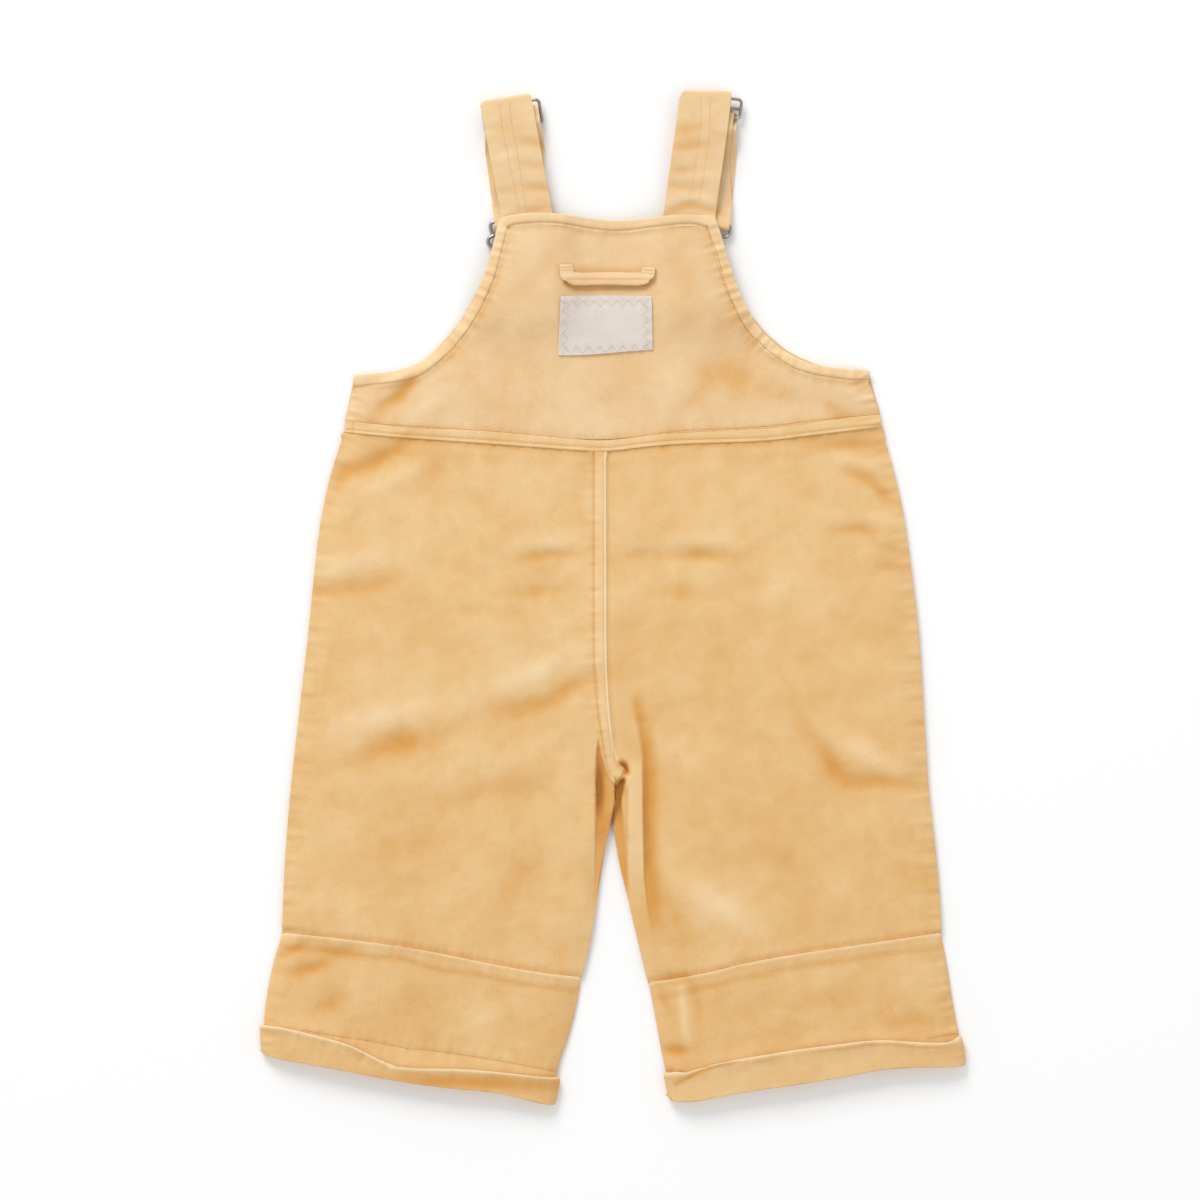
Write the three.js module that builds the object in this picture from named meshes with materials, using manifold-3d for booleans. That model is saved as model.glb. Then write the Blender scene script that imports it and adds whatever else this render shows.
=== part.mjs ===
// Kids dungarees laid flat on their front, in millimetres with +Z up.
// X runs to the wearer's right, Y runs to the neck, and the ground is Z = 0.
import * as THREE from "three";
import Module from "manifold-3d";

const wasm = await Module();
wasm.setup();

// Cloth and seams
const CLOTH = 1.2;
const SEAM = 0.3;
const BACK_BASE = CLOTH + SEAM;
const EDGING_WIDTH = 6.3;
const EDGING_RAISE = 0.7;
const WAIST_RAISE = 0.7;
const LAP_WIDTH = 7;
const LAP_RAISE = 0.8;
const BULGE = 1.6;

// Lift of the front bib over the buckles, and of the back bib over the strap ends
const FRONT_LIFT = 3.8;
const STRAP_END_LIFT = 1.5;
const STACKS = [
  { front: -51.7, back: -50 },
  { front: 50.6, back: 46 },
];
const FRONT_STACK_HALF = 21;
const BACK_STACK_HALF = 22;

// Hardware
const STRAP_WIDTH = 29;
const WIRE = 0.9;
const SLIDER_Z = 3.9;
const SLIDER_PITCH = 7.3;
const SLIDER_HALF = 17.3;
const BUCKLE_WIRE = 1;
const BUCKLE_Z = 2.5;
const BUCKLE_BAR = 61.5;
const BUTTON_RADIUS = 8.5;
const BUTTON_DROP = 27.5;

// Left edge of the back from the neck corner down to the turn-up
const ARMHOLE_LEFT = [
  { x: -145.3, y: 124.3 },
  { x: -123.1, y: 126.4 },
  { x: -108.1, y: 130.9 },
  { x: -99.2, y: 138.9 },
  { x: -91.2, y: 147.8 },
  { x: -84.3, y: 156.8 },
  { x: -79.2, y: 165.8 },
  { x: -74.2, y: 175.8 },
  { x: -70.3, y: 184.8 },
  { x: -68, y: 193.8 },
  { x: -65.6, y: 202.7 },
  { x: -63.6, y: 212.2 },
];
const NECK = [
  { x: -63.6, y: 212.2 },
  { x: -53.1, y: 214.2 },
  { x: -34.2, y: 214.6 },
  { x: -13.2, y: 211.7 },
  { x: 3.6, y: 210.4 },
  { x: 28.8, y: 213 },
  { x: 42.8, y: 213.9 },
  { x: 56.3, y: 213.1 },
];
const ARMHOLE_RIGHT = [
  { x: 56.3, y: 213.1 },
  { x: 59.4, y: 204.7 },
  { x: 62, y: 195 },
  { x: 66.4, y: 181.1 },
  { x: 71.7, y: 167.2 },
  { x: 78.1, y: 155.4 },
  { x: 86.7, y: 144.7 },
  { x: 96.3, y: 137.2 },
  { x: 110.2, y: 130.8 },
  { x: 126.3, y: 128.1 },
  { x: 143.1, y: 127.1 },
];
const SIDE_LEFT = [
  { y: 99.1, x: -150.1 },
  { y: 92.7, x: -150.6 },
  { y: 71.7, x: -157.6 },
  { y: 49.3, x: -162.7 },
  { y: 26.9, x: -166 },
  { y: -17.9, x: -170.5 },
  { y: -62.7, x: -175.6 },
  { y: -107.5, x: -180.6 },
  { y: -152.3, x: -184 },
  { y: -187.3, x: -185.4 },
];
const SIDE_RIGHT = [
  { y: 102.8, x: 149.2 },
  { y: 95.5, x: 149.8 },
  { y: 71.7, x: 156.5 },
  { y: 49.3, x: 161.6 },
  { y: 26.9, x: 164.9 },
  { y: -17.9, x: 170.5 },
  { y: -62.7, x: 173.3 },
  { y: -107.5, x: 176.1 },
  { y: -152.3, x: 181.2 },
  { y: -187.3, x: 183.4 },
];

// Centre seam, then the inseam of each leg
const INNER_LEFT = [
  { y: 81.8, x: -4.2 },
  { y: 21.3, x: -4 },
  { y: -34.7, x: -3.8 },
  { y: -59.9, x: -2.5 },
  { y: -82.3, x: -0.3 },
  { y: -107.5, x: 0.6 },
  { y: -129.9, x: -2.8 },
  { y: -152.3, x: -7.6 },
  { y: -171.9, x: -9.8 },
  { y: -194.3, x: -13.2 },
  { y: -212.2, x: -17.9 },
];
const INNER_RIGHT = [
  { y: 81.8, x: -4.2 },
  { y: 21.3, x: -4 },
  { y: -34.7, x: -3.8 },
  { y: -59.9, x: -2.5 },
  { y: -82.3, x: -0.3 },
  { y: -107.5, x: 1.2 },
  { y: -129.9, x: 0.6 },
  { y: -152.3, x: 4.2 },
  { y: -171.9, x: 9.2 },
  { y: -194.3, x: 14.4 },
  { y: -215, x: 19.4 },
];

// Waist strip, lower leg seams, turn-up lips and turn-up folds
const WAIST_TOP = [
  { x: -150.1, y: 99.1 },
  { x: -125.2, y: 96.6 },
  { x: -68, y: 93 },
  { x: -30, y: 89.6 },
  { x: -5.9, y: 87.9 },
  { x: 14.8, y: 90.2 },
  { x: 35.6, y: 93 },
  { x: 84.8, y: 95.5 },
  { x: 110.6, y: 98.8 },
  { x: 149.2, y: 102.8 },
];
const WAIST_BOTTOM = [
  { x: -150.6, y: 92.7 },
  { x: -121.8, y: 89.9 },
  { x: -68, y: 86.1 },
  { x: -25.1, y: 82.9 },
  { x: -4.2, y: 81.8 },
  { x: 13.7, y: 84 },
  { x: 35.6, y: 86 },
  { x: 84.8, y: 87.8 },
  { x: 110.6, y: 90.9 },
  { x: 149.8, y: 95.5 },
];
const BAND_SEAM_LEFT = [
  { x: -185.4, y: -187.3 },
  { x: -153.7, y: -190.4 },
  { x: -128.5, y: -193.5 },
  { x: -96, y: -198.8 },
  { x: -68.6, y: -204.7 },
  { x: -35, y: -210.4 },
  { x: -17.9, y: -212.2 },
];
const BAND_SEAM_RIGHT = [
  { x: 19.4, y: -215 },
  { x: 39.8, y: -212.2 },
  { x: 60.2, y: -207.9 },
  { x: 72, y: -204.6 },
  { x: 91, y: -201 },
  { x: 127.7, y: -195.4 },
  { x: 183.4, y: -187.3 },
];
const LIP_LEFT = [
  { x: -198.3, y: -238.6 },
  { x: -186.8, y: -239.5 },
  { x: -172.2, y: -243 },
  { x: -157.9, y: -246.4 },
  { x: -146.4, y: -249.8 },
  { x: -136.4, y: -254.8 },
  { x: -124, y: -261.6 },
  { x: -108.4, y: -262.9 },
  { x: -91, y: -262.9 },
  { x: -62.4, y: -264.9 },
  { x: -47.3, y: -267.1 },
  { x: -29.4, y: -268.2 },
];
const FOLD_LEFT = [
  { x: -197.4, y: -255 },
  { x: -183.4, y: -258.2 },
  { x: -164.9, y: -261.2 },
  { x: -143.6, y: -265.2 },
  { x: -122.4, y: -269.4 },
  { x: -91, y: -273.8 },
  { x: -66.1, y: -276.1 },
  { x: -49.8, y: -279.7 },
  { x: -39.5, y: -283.5 },
  { x: -32.2, y: -283.4 },
];
const LIP_RIGHT = [
  { x: 28, y: -273.5 },
  { x: 34.4, y: -271.5 },
  { x: 40.6, y: -267.1 },
  { x: 51.8, y: -261.5 },
  { x: 66.4, y: -258.2 },
  { x: 83.7, y: -255.4 },
  { x: 103.9, y: -252 },
  { x: 127.7, y: -249.2 },
  { x: 141, y: -247 },
  { x: 157.1, y: -247 },
  { x: 171.6, y: -248.5 },
  { x: 196.6, y: -248.5 },
];
const FOLD_RIGHT = [
  { x: 30.6, y: -280.2 },
  { x: 35.6, y: -281.8 },
  { x: 43.4, y: -282 },
  { x: 54.6, y: -279.4 },
  { x: 72, y: -276.1 },
  { x: 103.9, y: -271.6 },
  { x: 149.8, y: -264.9 },
  { x: 186.2, y: -262.6 },
  { x: 197.8, y: -261.5 },
];

// Sides of the lower leg bands, and of the turn-ups that wrap them
const BAND_OUTER_LEFT = [
  { y: -187.3, x: -185.4 },
  { y: -197.1, x: -189 },
  { y: -208.3, x: -191.8 },
  { y: -219.5, x: -194 },
  { y: -230.7, x: -195.7 },
  { y: -238, x: -196.3 },
  { y: -255, x: -195.6 },
];
const BAND_INNER_LEFT = [
  { y: -212.2, x: -17.9 },
  { y: -219.5, x: -19.3 },
  { y: -230.7, x: -20.6 },
  { y: -241.9, x: -23.4 },
  { y: -253.1, x: -27.4 },
  { y: -262, x: -31 },
  { y: -268, x: -31.8 },
  { y: -285, x: -34.8 },
];
const BAND_INNER_RIGHT = [
  { y: -215, x: 19.4 },
  { y: -219.5, x: 20.4 },
  { y: -230.7, x: 22.4 },
  { y: -241.9, x: 24.6 },
  { y: -253.1, x: 26.4 },
  { y: -268, x: 29.4 },
  { y: -280, x: 32.8 },
];
const BAND_OUTER_RIGHT = [
  { y: -187.3, x: 183.4 },
  { y: -197.1, x: 185.6 },
  { y: -219.5, x: 189 },
  { y: -230.7, x: 190.7 },
  { y: -241.9, x: 193 },
  { y: -250, x: 194.6 },
  { y: -262, x: 195.4 },
];

// Large folds of the back: middle, direction in degrees, half length, half width, height
const FOLDS = [
  { x: -118, y: 110, turn: 45, long: 11, wide: 5, high: -1 },
  { x: -130, y: 76, turn: 31, long: 24, wide: 6, high: -1.1 },
  { x: -152, y: 3, turn: 34, long: 11, wide: 5, high: -0.9 },
  { x: -40, y: -53, turn: 21, long: 24, wide: 10, high: -1 },
  { x: -37, y: 24, turn: 5, long: 16, wide: 5, high: -0.6 },
  { x: -47, y: 4, turn: 8, long: 16, wide: 5, high: -0.6 },
  { x: -13, y: -128, turn: 96, long: 30, wide: 5, high: 1 },
  { x: 4, y: -103, turn: 60, long: 10, wide: 7, high: 1.8 },
  { x: 15.5, y: -122, turn: 92, long: 30, wide: 5.5, high: 1.8 },
  { x: 25, y: -112, turn: 98, long: 44, wide: 5, high: -1.7 },
  { x: 36, y: -128, turn: 97, long: 34, wide: 7, high: 0.8 },
  { x: 34, y: 20, turn: 3, long: 34, wide: 7, high: -0.8 },
  { x: 136, y: 80, turn: 150, long: 14, wide: 4.5, high: -0.9 },
  { x: 147, y: 61, turn: 160, long: 12, wide: 4, high: -0.7 },
  { x: 138, y: 38, turn: 165, long: 16, wide: 5, high: -0.8 },
  { x: 76, y: 134, turn: -45, long: 15, wide: 6, high: -0.7 },
  { x: -156, y: -201, turn: -10, long: 16, wide: 5, high: -0.8 },
  { x: -178, y: -212, turn: -8, long: 12, wide: 4.5, high: -0.6 },
  { x: 36, y: -222, turn: 0, long: 9, wide: 5, high: -0.6 },
  { x: 41, y: -241, turn: 106, long: 15, wide: 4.5, high: 0.9 },
  { x: 132, y: -202, turn: 10, long: 15, wide: 5, high: -0.5 },
];

// Place and tilt of each slider, how far the top fold stands above it, and the strap's sideways
// shift at the back bib, top fold, slider, ground, buckle and on the way back
const STRAPS = {
  left: {
    x: -57.4,
    y: 271.3,
    tilt: 9.3,
    top: 7.2,
    bib: -0.6,
    fold: -1.5,
    slot: -1.4,
    ground: -3.4,
    hook: -4.3,
    back: 1,
  },
  right: {
    x: 53.8,
    y: 271,
    tilt: -7.3,
    top: 11,
    bib: -4,
    fold: -3.5,
    slot: 1.4,
    ground: 3.4,
    hook: 4.5,
    back: -1,
  },
};

const clothPaint = () => new THREE.MeshStandardMaterial({ color: 0xe8c08e, roughness: 0.95, metalness: 0 });
const labelPaint = () => new THREE.MeshStandardMaterial({ color: 0xe0d6cc, roughness: 0.9, metalness: 0 });
const wirePaint = () => new THREE.MeshStandardMaterial({ color: 0xb8b2a6, roughness: 0.35, metalness: 0.9 });

const mix = (a, b, t) => a + (b - a) * t;
const clamp = (t) => Math.min(1, Math.max(0, t));
const ease = (t) => clamp(t) ** 2 * (3 - 2 * clamp(t));
const spread = (count) => Array.from({ length: count }, (_, i) => i / (count - 1));

// A smooth reading of one column of a table against another
function reader(rows, key, value) {
  const sorted = [...rows].sort((a, b) => a[key] - b[key]);
  const keys = sorted.map((row) => row[key]);
  const values = sorted.map((row) => row[value]);
  const last = keys.length - 1;
  const slope = keys.map((_, i) => {
    const low = Math.max(0, i - 1);
    const high = Math.min(last, i + 1);
    return (values[high] - values[low]) / (keys[high] - keys[low]);
  });
  return (at) => {
    const k = Math.min(keys[last], Math.max(keys[0], at));
    let i = 0;
    while (i < last - 1 && keys[i + 1] < k) i += 1;
    const span = keys[i + 1] - keys[i];
    const t = (k - keys[i]) / span;
    const a = values[i];
    const b = values[i + 1];
    const bend = t * (1 - t) * ((1 - t) * (slope[i] * span - (b - a)) - t * (slope[i + 1] * span - (b - a)));
    return mix(a, b, t) + bend;
  };
}

const waistTop = reader(WAIST_TOP, "x", "y");
const waistBottom = reader(WAIST_BOTTOM, "x", "y");
const lipLeft = reader(LIP_LEFT, "x", "y");
const lipRight = reader(LIP_RIGHT, "x", "y");
const sideLeft = reader(SIDE_LEFT, "y", "x");
const sideRight = reader(SIDE_RIGHT, "y", "x");
const innerLeft = reader(INNER_LEFT, "y", "x");
const innerRight = reader(INNER_RIGHT, "y", "x");
const edgeLeft = reader([...ARMHOLE_LEFT, ...SIDE_LEFT, ...BAND_OUTER_LEFT.slice(1)], "y", "x");
const edgeRight = reader([...ARMHOLE_RIGHT, ...SIDE_RIGHT, ...BAND_OUTER_RIGHT.slice(1)], "y", "x");
const clothInnerLeft = reader([...INNER_LEFT, ...BAND_INNER_LEFT.slice(1)], "y", "x");
const clothInnerRight = reader([...INNER_RIGHT, ...BAND_INNER_RIGHT.slice(1)], "y", "x");

// Bulge of the cloth between two side lines, none at the lines
function lobe(x, from, to) {
  const across = (2 * x - from - to) / (to - from);
  return Math.max(0, 1 - across ** 4);
}

function bulge(x, y) {
  const left = edgeLeft(y);
  const right = edgeRight(y);
  const body = lobe(x, left, right);
  const legs = Math.max(lobe(x, left, clothInnerLeft(y)), lobe(x, clothInnerRight(y), right));
  return BULGE * mix(body, legs, ease((-50 - y) / 60));
}

function folds(x, y) {
  return FOLDS.reduce((sum, fold) => {
    const turn = THREE.MathUtils.degToRad(fold.turn);
    const dx = x - fold.x;
    const dy = y - fold.y;
    const along = (dx * Math.cos(turn) + dy * Math.sin(turn)) / fold.long;
    const across = (dy * Math.cos(turn) - dx * Math.sin(turn)) / fold.wide;
    return sum + fold.high * Math.exp(-(along ** 2) - across ** 2);
  }, 0);
}

// Never under the panel below, and smooth where it settles on it
const settle = (height) => 0.5 * (height + Math.sqrt(height ** 2 + 0.04));

const overStack = (x, middle, half) => 1 - ease((Math.abs(x - middle) - half) / 15);

function frontBottom(x, y) {
  const over = Math.max(...STACKS.map((stack) => overStack(x, stack.front, FRONT_STACK_HALF)));
  return FRONT_LIFT * ease((y - 138) / 22) * over;
}

// Lift of a lower leg band where the turn-up runs under it
function hemLift(x, y) {
  const lip = x < 0 ? lipLeft(x) : lipRight(x);
  return (CLOTH + SEAM) * ease((lip + 6 - y) / 6);
}

function backBottom(x, y) {
  const over = Math.max(...STACKS.map((stack) => overStack(x, stack.back, BACK_STACK_HALF)));
  const strapEnds = STRAP_END_LIFT * ease((y - 140) / 34) * over;
  const hem = y < -180 ? hemLift(x, y) : 0;
  return BACK_BASE + frontBottom(x, y) + strapEnds + hem + settle(bulge(x, y) + folds(x, y));
}

// Height of a wall measured upright, so that it keeps its thickness on a slope
function uprightWall(bottom, x, y, wall) {
  const step = 0.5;
  const slopeX = (bottom(x + step, y) - bottom(x - step, y)) / (2 * step);
  const slopeY = (bottom(x, y + step) - bottom(x, y - step)) / (2 * step);
  return wall * Math.sqrt(1 + slopeX ** 2 + slopeY ** 2);
}

const backTop = (x, y) => backBottom(x, y) + uprightWall(backBottom, x, y, CLOTH);

// Builders
function geometry(points, faces) {
  const made = new THREE.BufferGeometry();
  made.setAttribute("position", new THREE.Float32BufferAttribute(points.flat(), 3));
  made.setIndex(faces.flat());
  const flat = made.toNonIndexed();
  flat.computeVertexNormals();
  return flat;
}

const distance = (a, b) => Math.hypot(a[0] - b[0], a[1] - b[1], a[2] - b[2]);

// Two triangles for a four-sided patch, cut along its shorter diagonal
function patchFaces(points, a, b, c, d) {
  const shortAC = distance(points[a], points[c]) <= distance(points[b], points[d]);
  return shortAC ? [[a, b, c], [a, c, d]] : [[a, b, d], [b, c, d]];
}

// A closed sheet on a grid of plan points: rows run down the garment, columns across it
function sheet(grid, bottom, wallAt) {
  const rows = grid.length;
  const columns = grid[0].length;
  const points = [];
  grid.forEach((row, i) => row.forEach((at, j) => {
    const low = bottom(at[0], at[1]);
    points.push([at[0], at[1], low + uprightWall(bottom, at[0], at[1], wallAt(i, j))]);
    points.push([at[0], at[1], low]);
  }));
  const top = (i, j) => 2 * (i * columns + j);
  const under = (i, j) => top(i, j) + 1;
  const faces = [];
  for (let i = 0; i < rows - 1; i += 1) {
    for (let j = 0; j < columns - 1; j += 1) {
      faces.push(...patchFaces(points, top(i, j), top(i + 1, j), top(i + 1, j + 1), top(i, j + 1)));
      faces.push(...patchFaces(points, under(i, j), under(i, j + 1), under(i + 1, j + 1), under(i + 1, j)));
    }
    const end = columns - 1;
    faces.push(...patchFaces(points, top(i, 0), under(i, 0), under(i + 1, 0), top(i + 1, 0)));
    faces.push(...patchFaces(points, top(i, end), top(i + 1, end), under(i + 1, end), under(i, end)));
  }
  for (let j = 0; j < columns - 1; j += 1) {
    const end = rows - 1;
    faces.push(...patchFaces(points, top(0, j), top(0, j + 1), under(0, j + 1), under(0, j)));
    faces.push(...patchFaces(points, top(end, j), under(end, j), under(end, j + 1), top(end, j + 1)));
  }
  return geometry(points, faces);
}

// A closed tube of cloth: each section holds an outer and an inner loop of points
function clothTube(sections) {
  const count = sections[0].outer.length;
  const points = sections.flatMap((section) => [...section.outer, ...section.inner]);
  const outer = (s, k) => s * 2 * count + (k % count);
  const inner = (s, k) => outer(s, k) + count;
  const faces = [];
  for (let s = 0; s < sections.length - 1; s += 1) {
    for (let k = 0; k < count; k += 1) {
      faces.push(...patchFaces(points, outer(s, k), outer(s + 1, k), outer(s + 1, k + 1), outer(s, k + 1)));
      faces.push(...patchFaces(points, inner(s, k), inner(s, k + 1), inner(s + 1, k + 1), inner(s + 1, k)));
    }
  }
  const end = sections.length - 1;
  for (let k = 0; k < count; k += 1) {
    faces.push(...patchFaces(points, outer(0, k), outer(0, k + 1), inner(0, k + 1), inner(0, k)));
    faces.push(...patchFaces(points, outer(end, k), inner(end, k), inner(end, k + 1), outer(end, k + 1)));
  }
  return geometry(points, faces);
}

// A surface between four plan lines that share their corners
function coons(top, bottom, left, right) {
  return (u, v) => [0, 1].map((axis) => {
    const upDown = mix(top(u)[axis], bottom(u)[axis], v);
    const sideways = mix(left(v)[axis], right(v)[axis], u);
    const corners = mix(mix(top(0)[axis], top(1)[axis], u), mix(bottom(0)[axis], bottom(1)[axis], u), v);
    return upDown + sideways - corners;
  });
}

const lineByX = (read, from, to) => (t) => [mix(from, to, t), read(mix(from, to, t))];
const lineByY = (read, from, to) => (t) => [read(mix(from, to, t)), mix(from, to, t)];
const gridOf = (surface, us, vs) => vs.map((v) => us.map((u) => surface(u, v)));

// Draws the edges of a grid in by half a seam
function seamed(grid) {
  const rows = grid.length;
  const columns = grid[0].length;
  const shift = (before, after, at, inside) => {
    const run = [after[0] - before[0], after[1] - before[1]];
    const size = Math.hypot(run[0], run[1]);
    const normal = [-run[1] / size, run[0] / size];
    const side = Math.sign(normal[0] * (inside[0] - at[0]) + normal[1] * (inside[1] - at[1]));
    return normal.map((n) => n * side * SEAM * 0.5);
  };
  return grid.map((row, i) => row.map((at, j) => {
    const moved = [at[0], at[1]];
    const add = (by) => by.forEach((value, axis) => { moved[axis] += value; });
    const up = grid[Math.max(0, i - 1)][j];
    const down = grid[Math.min(rows - 1, i + 1)][j];
    const before = row[Math.max(0, j - 1)];
    const after = row[Math.min(columns - 1, j + 1)];
    if (i === 0) add(shift(before, after, at, down));
    if (i === rows - 1) add(shift(before, after, at, up));
    if (j === 0) add(shift(up, down, at, after));
    if (j === columns - 1) add(shift(up, down, at, before));
    return moved;
  }));
}

// A plan line moved to its right-hand side by a distance, with mitred corners
function moved(line, by) {
  return line.map((at, i) => {
    const before = line[Math.max(0, i - 1)];
    const after = line[Math.min(line.length - 1, i + 1)];
    const normal = (a, b) => {
      const size = Math.hypot(b[0] - a[0], b[1] - a[1]) || 1;
      return [(b[1] - a[1]) / size, (a[0] - b[0]) / size];
    };
    const first = i === 0 ? normal(at, after) : normal(before, at);
    const second = i === line.length - 1 ? first : normal(at, after);
    const sum = [first[0] + second[0], first[1] + second[1]];
    const scale = (2 * by) / (sum[0] ** 2 + sum[1] ** 2);
    return [at[0] + sum[0] * scale, at[1] + sum[1] * scale];
  });
}

function sampled(rows, count) {
  const places = rows.map((row) => new THREE.Vector3(row.x, row.y, 0));
  const curve = new THREE.CatmullRomCurve3(places, false, "centripetal");
  return curve.getSpacedPoints(count - 1).map((at) => [at.x, at.y]);
}

const named = (name, made, paint) => {
  const mesh = new THREE.Mesh(made, paint());
  mesh.name = name;
  return mesh;
};

const dungarees = new THREE.Group();
dungarees.name = "kids_dungarees";

// Back bib with the edging along its armholes and neck
const outline = [
  ...sampled(ARMHOLE_LEFT, 14),
  ...sampled(NECK, 14).slice(1),
  ...sampled(ARMHOLE_RIGHT, 13).slice(1),
];
const seamLine = moved(outline, EDGING_WIDTH - SEAM / 2);
const edgingGrid = [outline, moved(outline, EDGING_WIDTH / 2), seamLine];
dungarees.add(named("back_edging", sheet(edgingGrid, backBottom, () => CLOTH + EDGING_RAISE), clothPaint));

function bibGrid(topLine, sideFrom, sideTo, rowCount) {
  const spanX = topLine.at(-1)[0] - topLine[0][0];
  return spread(rowCount).map((v) => topLine.map((at, i) => {
    const byCount = i / (topLine.length - 1);
    const byPlace = (at[0] - topLine[0][0]) / spanX;
    const x = mix(sideFrom, sideTo, mix(byCount, byPlace, 0.7));
    const y = waistTop(x) + SEAM / 2;
    return [mix(at[0], x, v), mix(at[1], y, v)];
  }));
}

const bibTop = moved(outline, EDGING_WIDTH + SEAM / 2);
const backBib = bibGrid(bibTop, -150, 149.1, 15);
dungarees.add(named("back_bib", sheet(backBib, backBottom, () => CLOTH), clothPaint));

// Front bib under it, raised where the buckles and their buttons lie
const frontOutline = [
  { x: -145, y: 123.6 },
  { x: -122.4, y: 124.4 },
  { x: -104, y: 129.4 },
  { x: -88.4, y: 142 },
  { x: -75, y: 159 },
  { x: -66.6, y: 177 },
  { x: -61.5, y: 200.4 },
];
const frontOutlineRight = [
  { x: 55.5, y: 200.4 },
  { x: 63.4, y: 176.4 },
  { x: 74, y: 157.9 },
  { x: 88.4, y: 141.6 },
  { x: 106, y: 130 },
  { x: 124.6, y: 126 },
  { x: 142.8, y: 125.6 },
];
const frontTop = [
  ...sampled(frontOutline, 8),
  ...spread(10).slice(1, -1).map((t) => [mix(-61.5, 55.5, t), 200.4]),
  ...sampled(frontOutlineRight, 8),
];
const frontBib = bibGrid(frontTop, -150, 149.1, 10);
dungarees.add(named("front_bib", sheet(frontBib, frontBottom, () => CLOTH), clothPaint));

// Waist strips
const waist = coons(
  lineByX(waistTop, -150.1, 149.2),
  lineByX(waistBottom, -150.6, 149.8),
  lineByY(sideLeft, 99.1, 92.7),
  lineByY(sideRight, 102.8, 95.5),
);
const backWaist = seamed(gridOf(waist, spread(28), spread(3)));
const frontWaist = seamed(gridOf(waist, spread(25), spread(2)));
dungarees.add(named("back_waistband", sheet(backWaist, backBottom, () => CLOTH + WAIST_RAISE), clothPaint));
dungarees.add(named("front_waistband", sheet(frontWaist, frontBottom, () => CLOTH), clothPaint));

// Leg panels: the left back panel laps over the right one along the centre seam
const bandSeamLeft = reader(BAND_SEAM_LEFT, "x", "y");
const bandSeamRight = reader(BAND_SEAM_RIGHT, "x", "y");
const legLeft = coons(
  lineByX(waistBottom, -150.6, -4.2),
  lineByX(bandSeamLeft, -185.4, -17.9),
  lineByY(sideLeft, 92.7, -187.3),
  lineByY(innerLeft, 81.8, -212.2),
);
const legRight = coons(
  lineByX(waistBottom, -4.2, 149.8),
  lineByX(bandSeamRight, 19.4, 183.4),
  lineByY(innerRight, 81.8, -215),
  lineByY(sideRight, 95.5, -187.3),
);
const lapShare = LAP_WIDTH / 155;
const lapColumns = [...spread(13).map((t) => t * (1 - lapShare)), 1 - lapShare + 0.006, 1];
const backLegLeft = seamed(gridOf(legLeft, lapColumns, spread(21)));
const lapWall = (i, j) => CLOTH + (j >= 13 ? LAP_RAISE * ease((17 - i) / 3) : 0);
const backLegRight = seamed(gridOf(legRight, spread(16).map((t) => mix(t, t ** 1.5, 0.6)), spread(21)));
dungarees.add(named("back_leg_left", sheet(backLegLeft, backBottom, lapWall), clothPaint));
dungarees.add(named("back_leg_right", sheet(backLegRight, backBottom, () => CLOTH), clothPaint));
const onGround = () => 0;
const frontLeg = (leg) => sheet(seamed(gridOf(leg, spread(13), spread(15))), onGround, () => CLOTH);
dungarees.add(named("front_leg_left", frontLeg(legLeft), clothPaint));
dungarees.add(named("front_leg_right", frontLeg(legRight), clothPaint));

// Loops of one tube section: the back wall from left to right, then the front wall back
function tubeSection(plan, width, inset, back, front) {
  const us = [0.012, ...spread(14).slice(1, -1), 0.988];
  const share = inset / width;
  const place = (u) => plan(mix(share, 1 - share, u));
  const wall = (u, height) => {
    const at = place(u);
    return [at[0], at[1], height(at[0], at[1])];
  };
  const middle = (u) => {
    const at = place(u);
    return [at[0], at[1], (back(at[0], at[1]) + front(at[0], at[1])) / 2];
  };
  return [
    middle(0),
    ...us.map((u) => wall(u, back)),
    middle(1),
    ...[...us].reverse().map((u) => wall(u, front)),
  ];
}

// Each leg's end: from the seam under the leg panels, past the turn-up's lip, to the fold
const foldLeft = reader(FOLD_LEFT, "x", "y");
const foldRight = reader(FOLD_RIGHT, "x", "y");
const END_GAP = CLOTH + SEAM;
const LEG_ENDS = [
  {
    side: "left",
    seam: lineByX(bandSeamLeft, -185.4, -17.9),
    lip: lipLeft,
    fold: foldLeft,
    from: reader(BAND_OUTER_LEFT, "y", "x"),
    to: reader(BAND_INNER_LEFT, "y", "x"),
    lipFrom: -198.3,
    lipTo: -29.3,
    foldFrom: -197.4,
    foldTo: -32.2,
  },
  {
    side: "right",
    seam: lineByX(bandSeamRight, 19.4, 183.4),
    lip: lipRight,
    fold: foldRight,
    from: reader(BAND_INNER_RIGHT, "y", "x"),
    to: reader(BAND_OUTER_RIGHT, "y", "x"),
    lipFrom: 27.6,
    lipTo: 197.4,
    foldFrom: 30.6,
    foldTo: 197.8,
  },
];

// A line along the lip or fold, some way above it, between the sides of the band
function bandLine(end, read, above) {
  const from = end.from(read(end.lipFrom) + above);
  const to = end.to(read(end.lipTo) + above);
  return lineByX((x) => read(x) + above, from, to);
}

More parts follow.
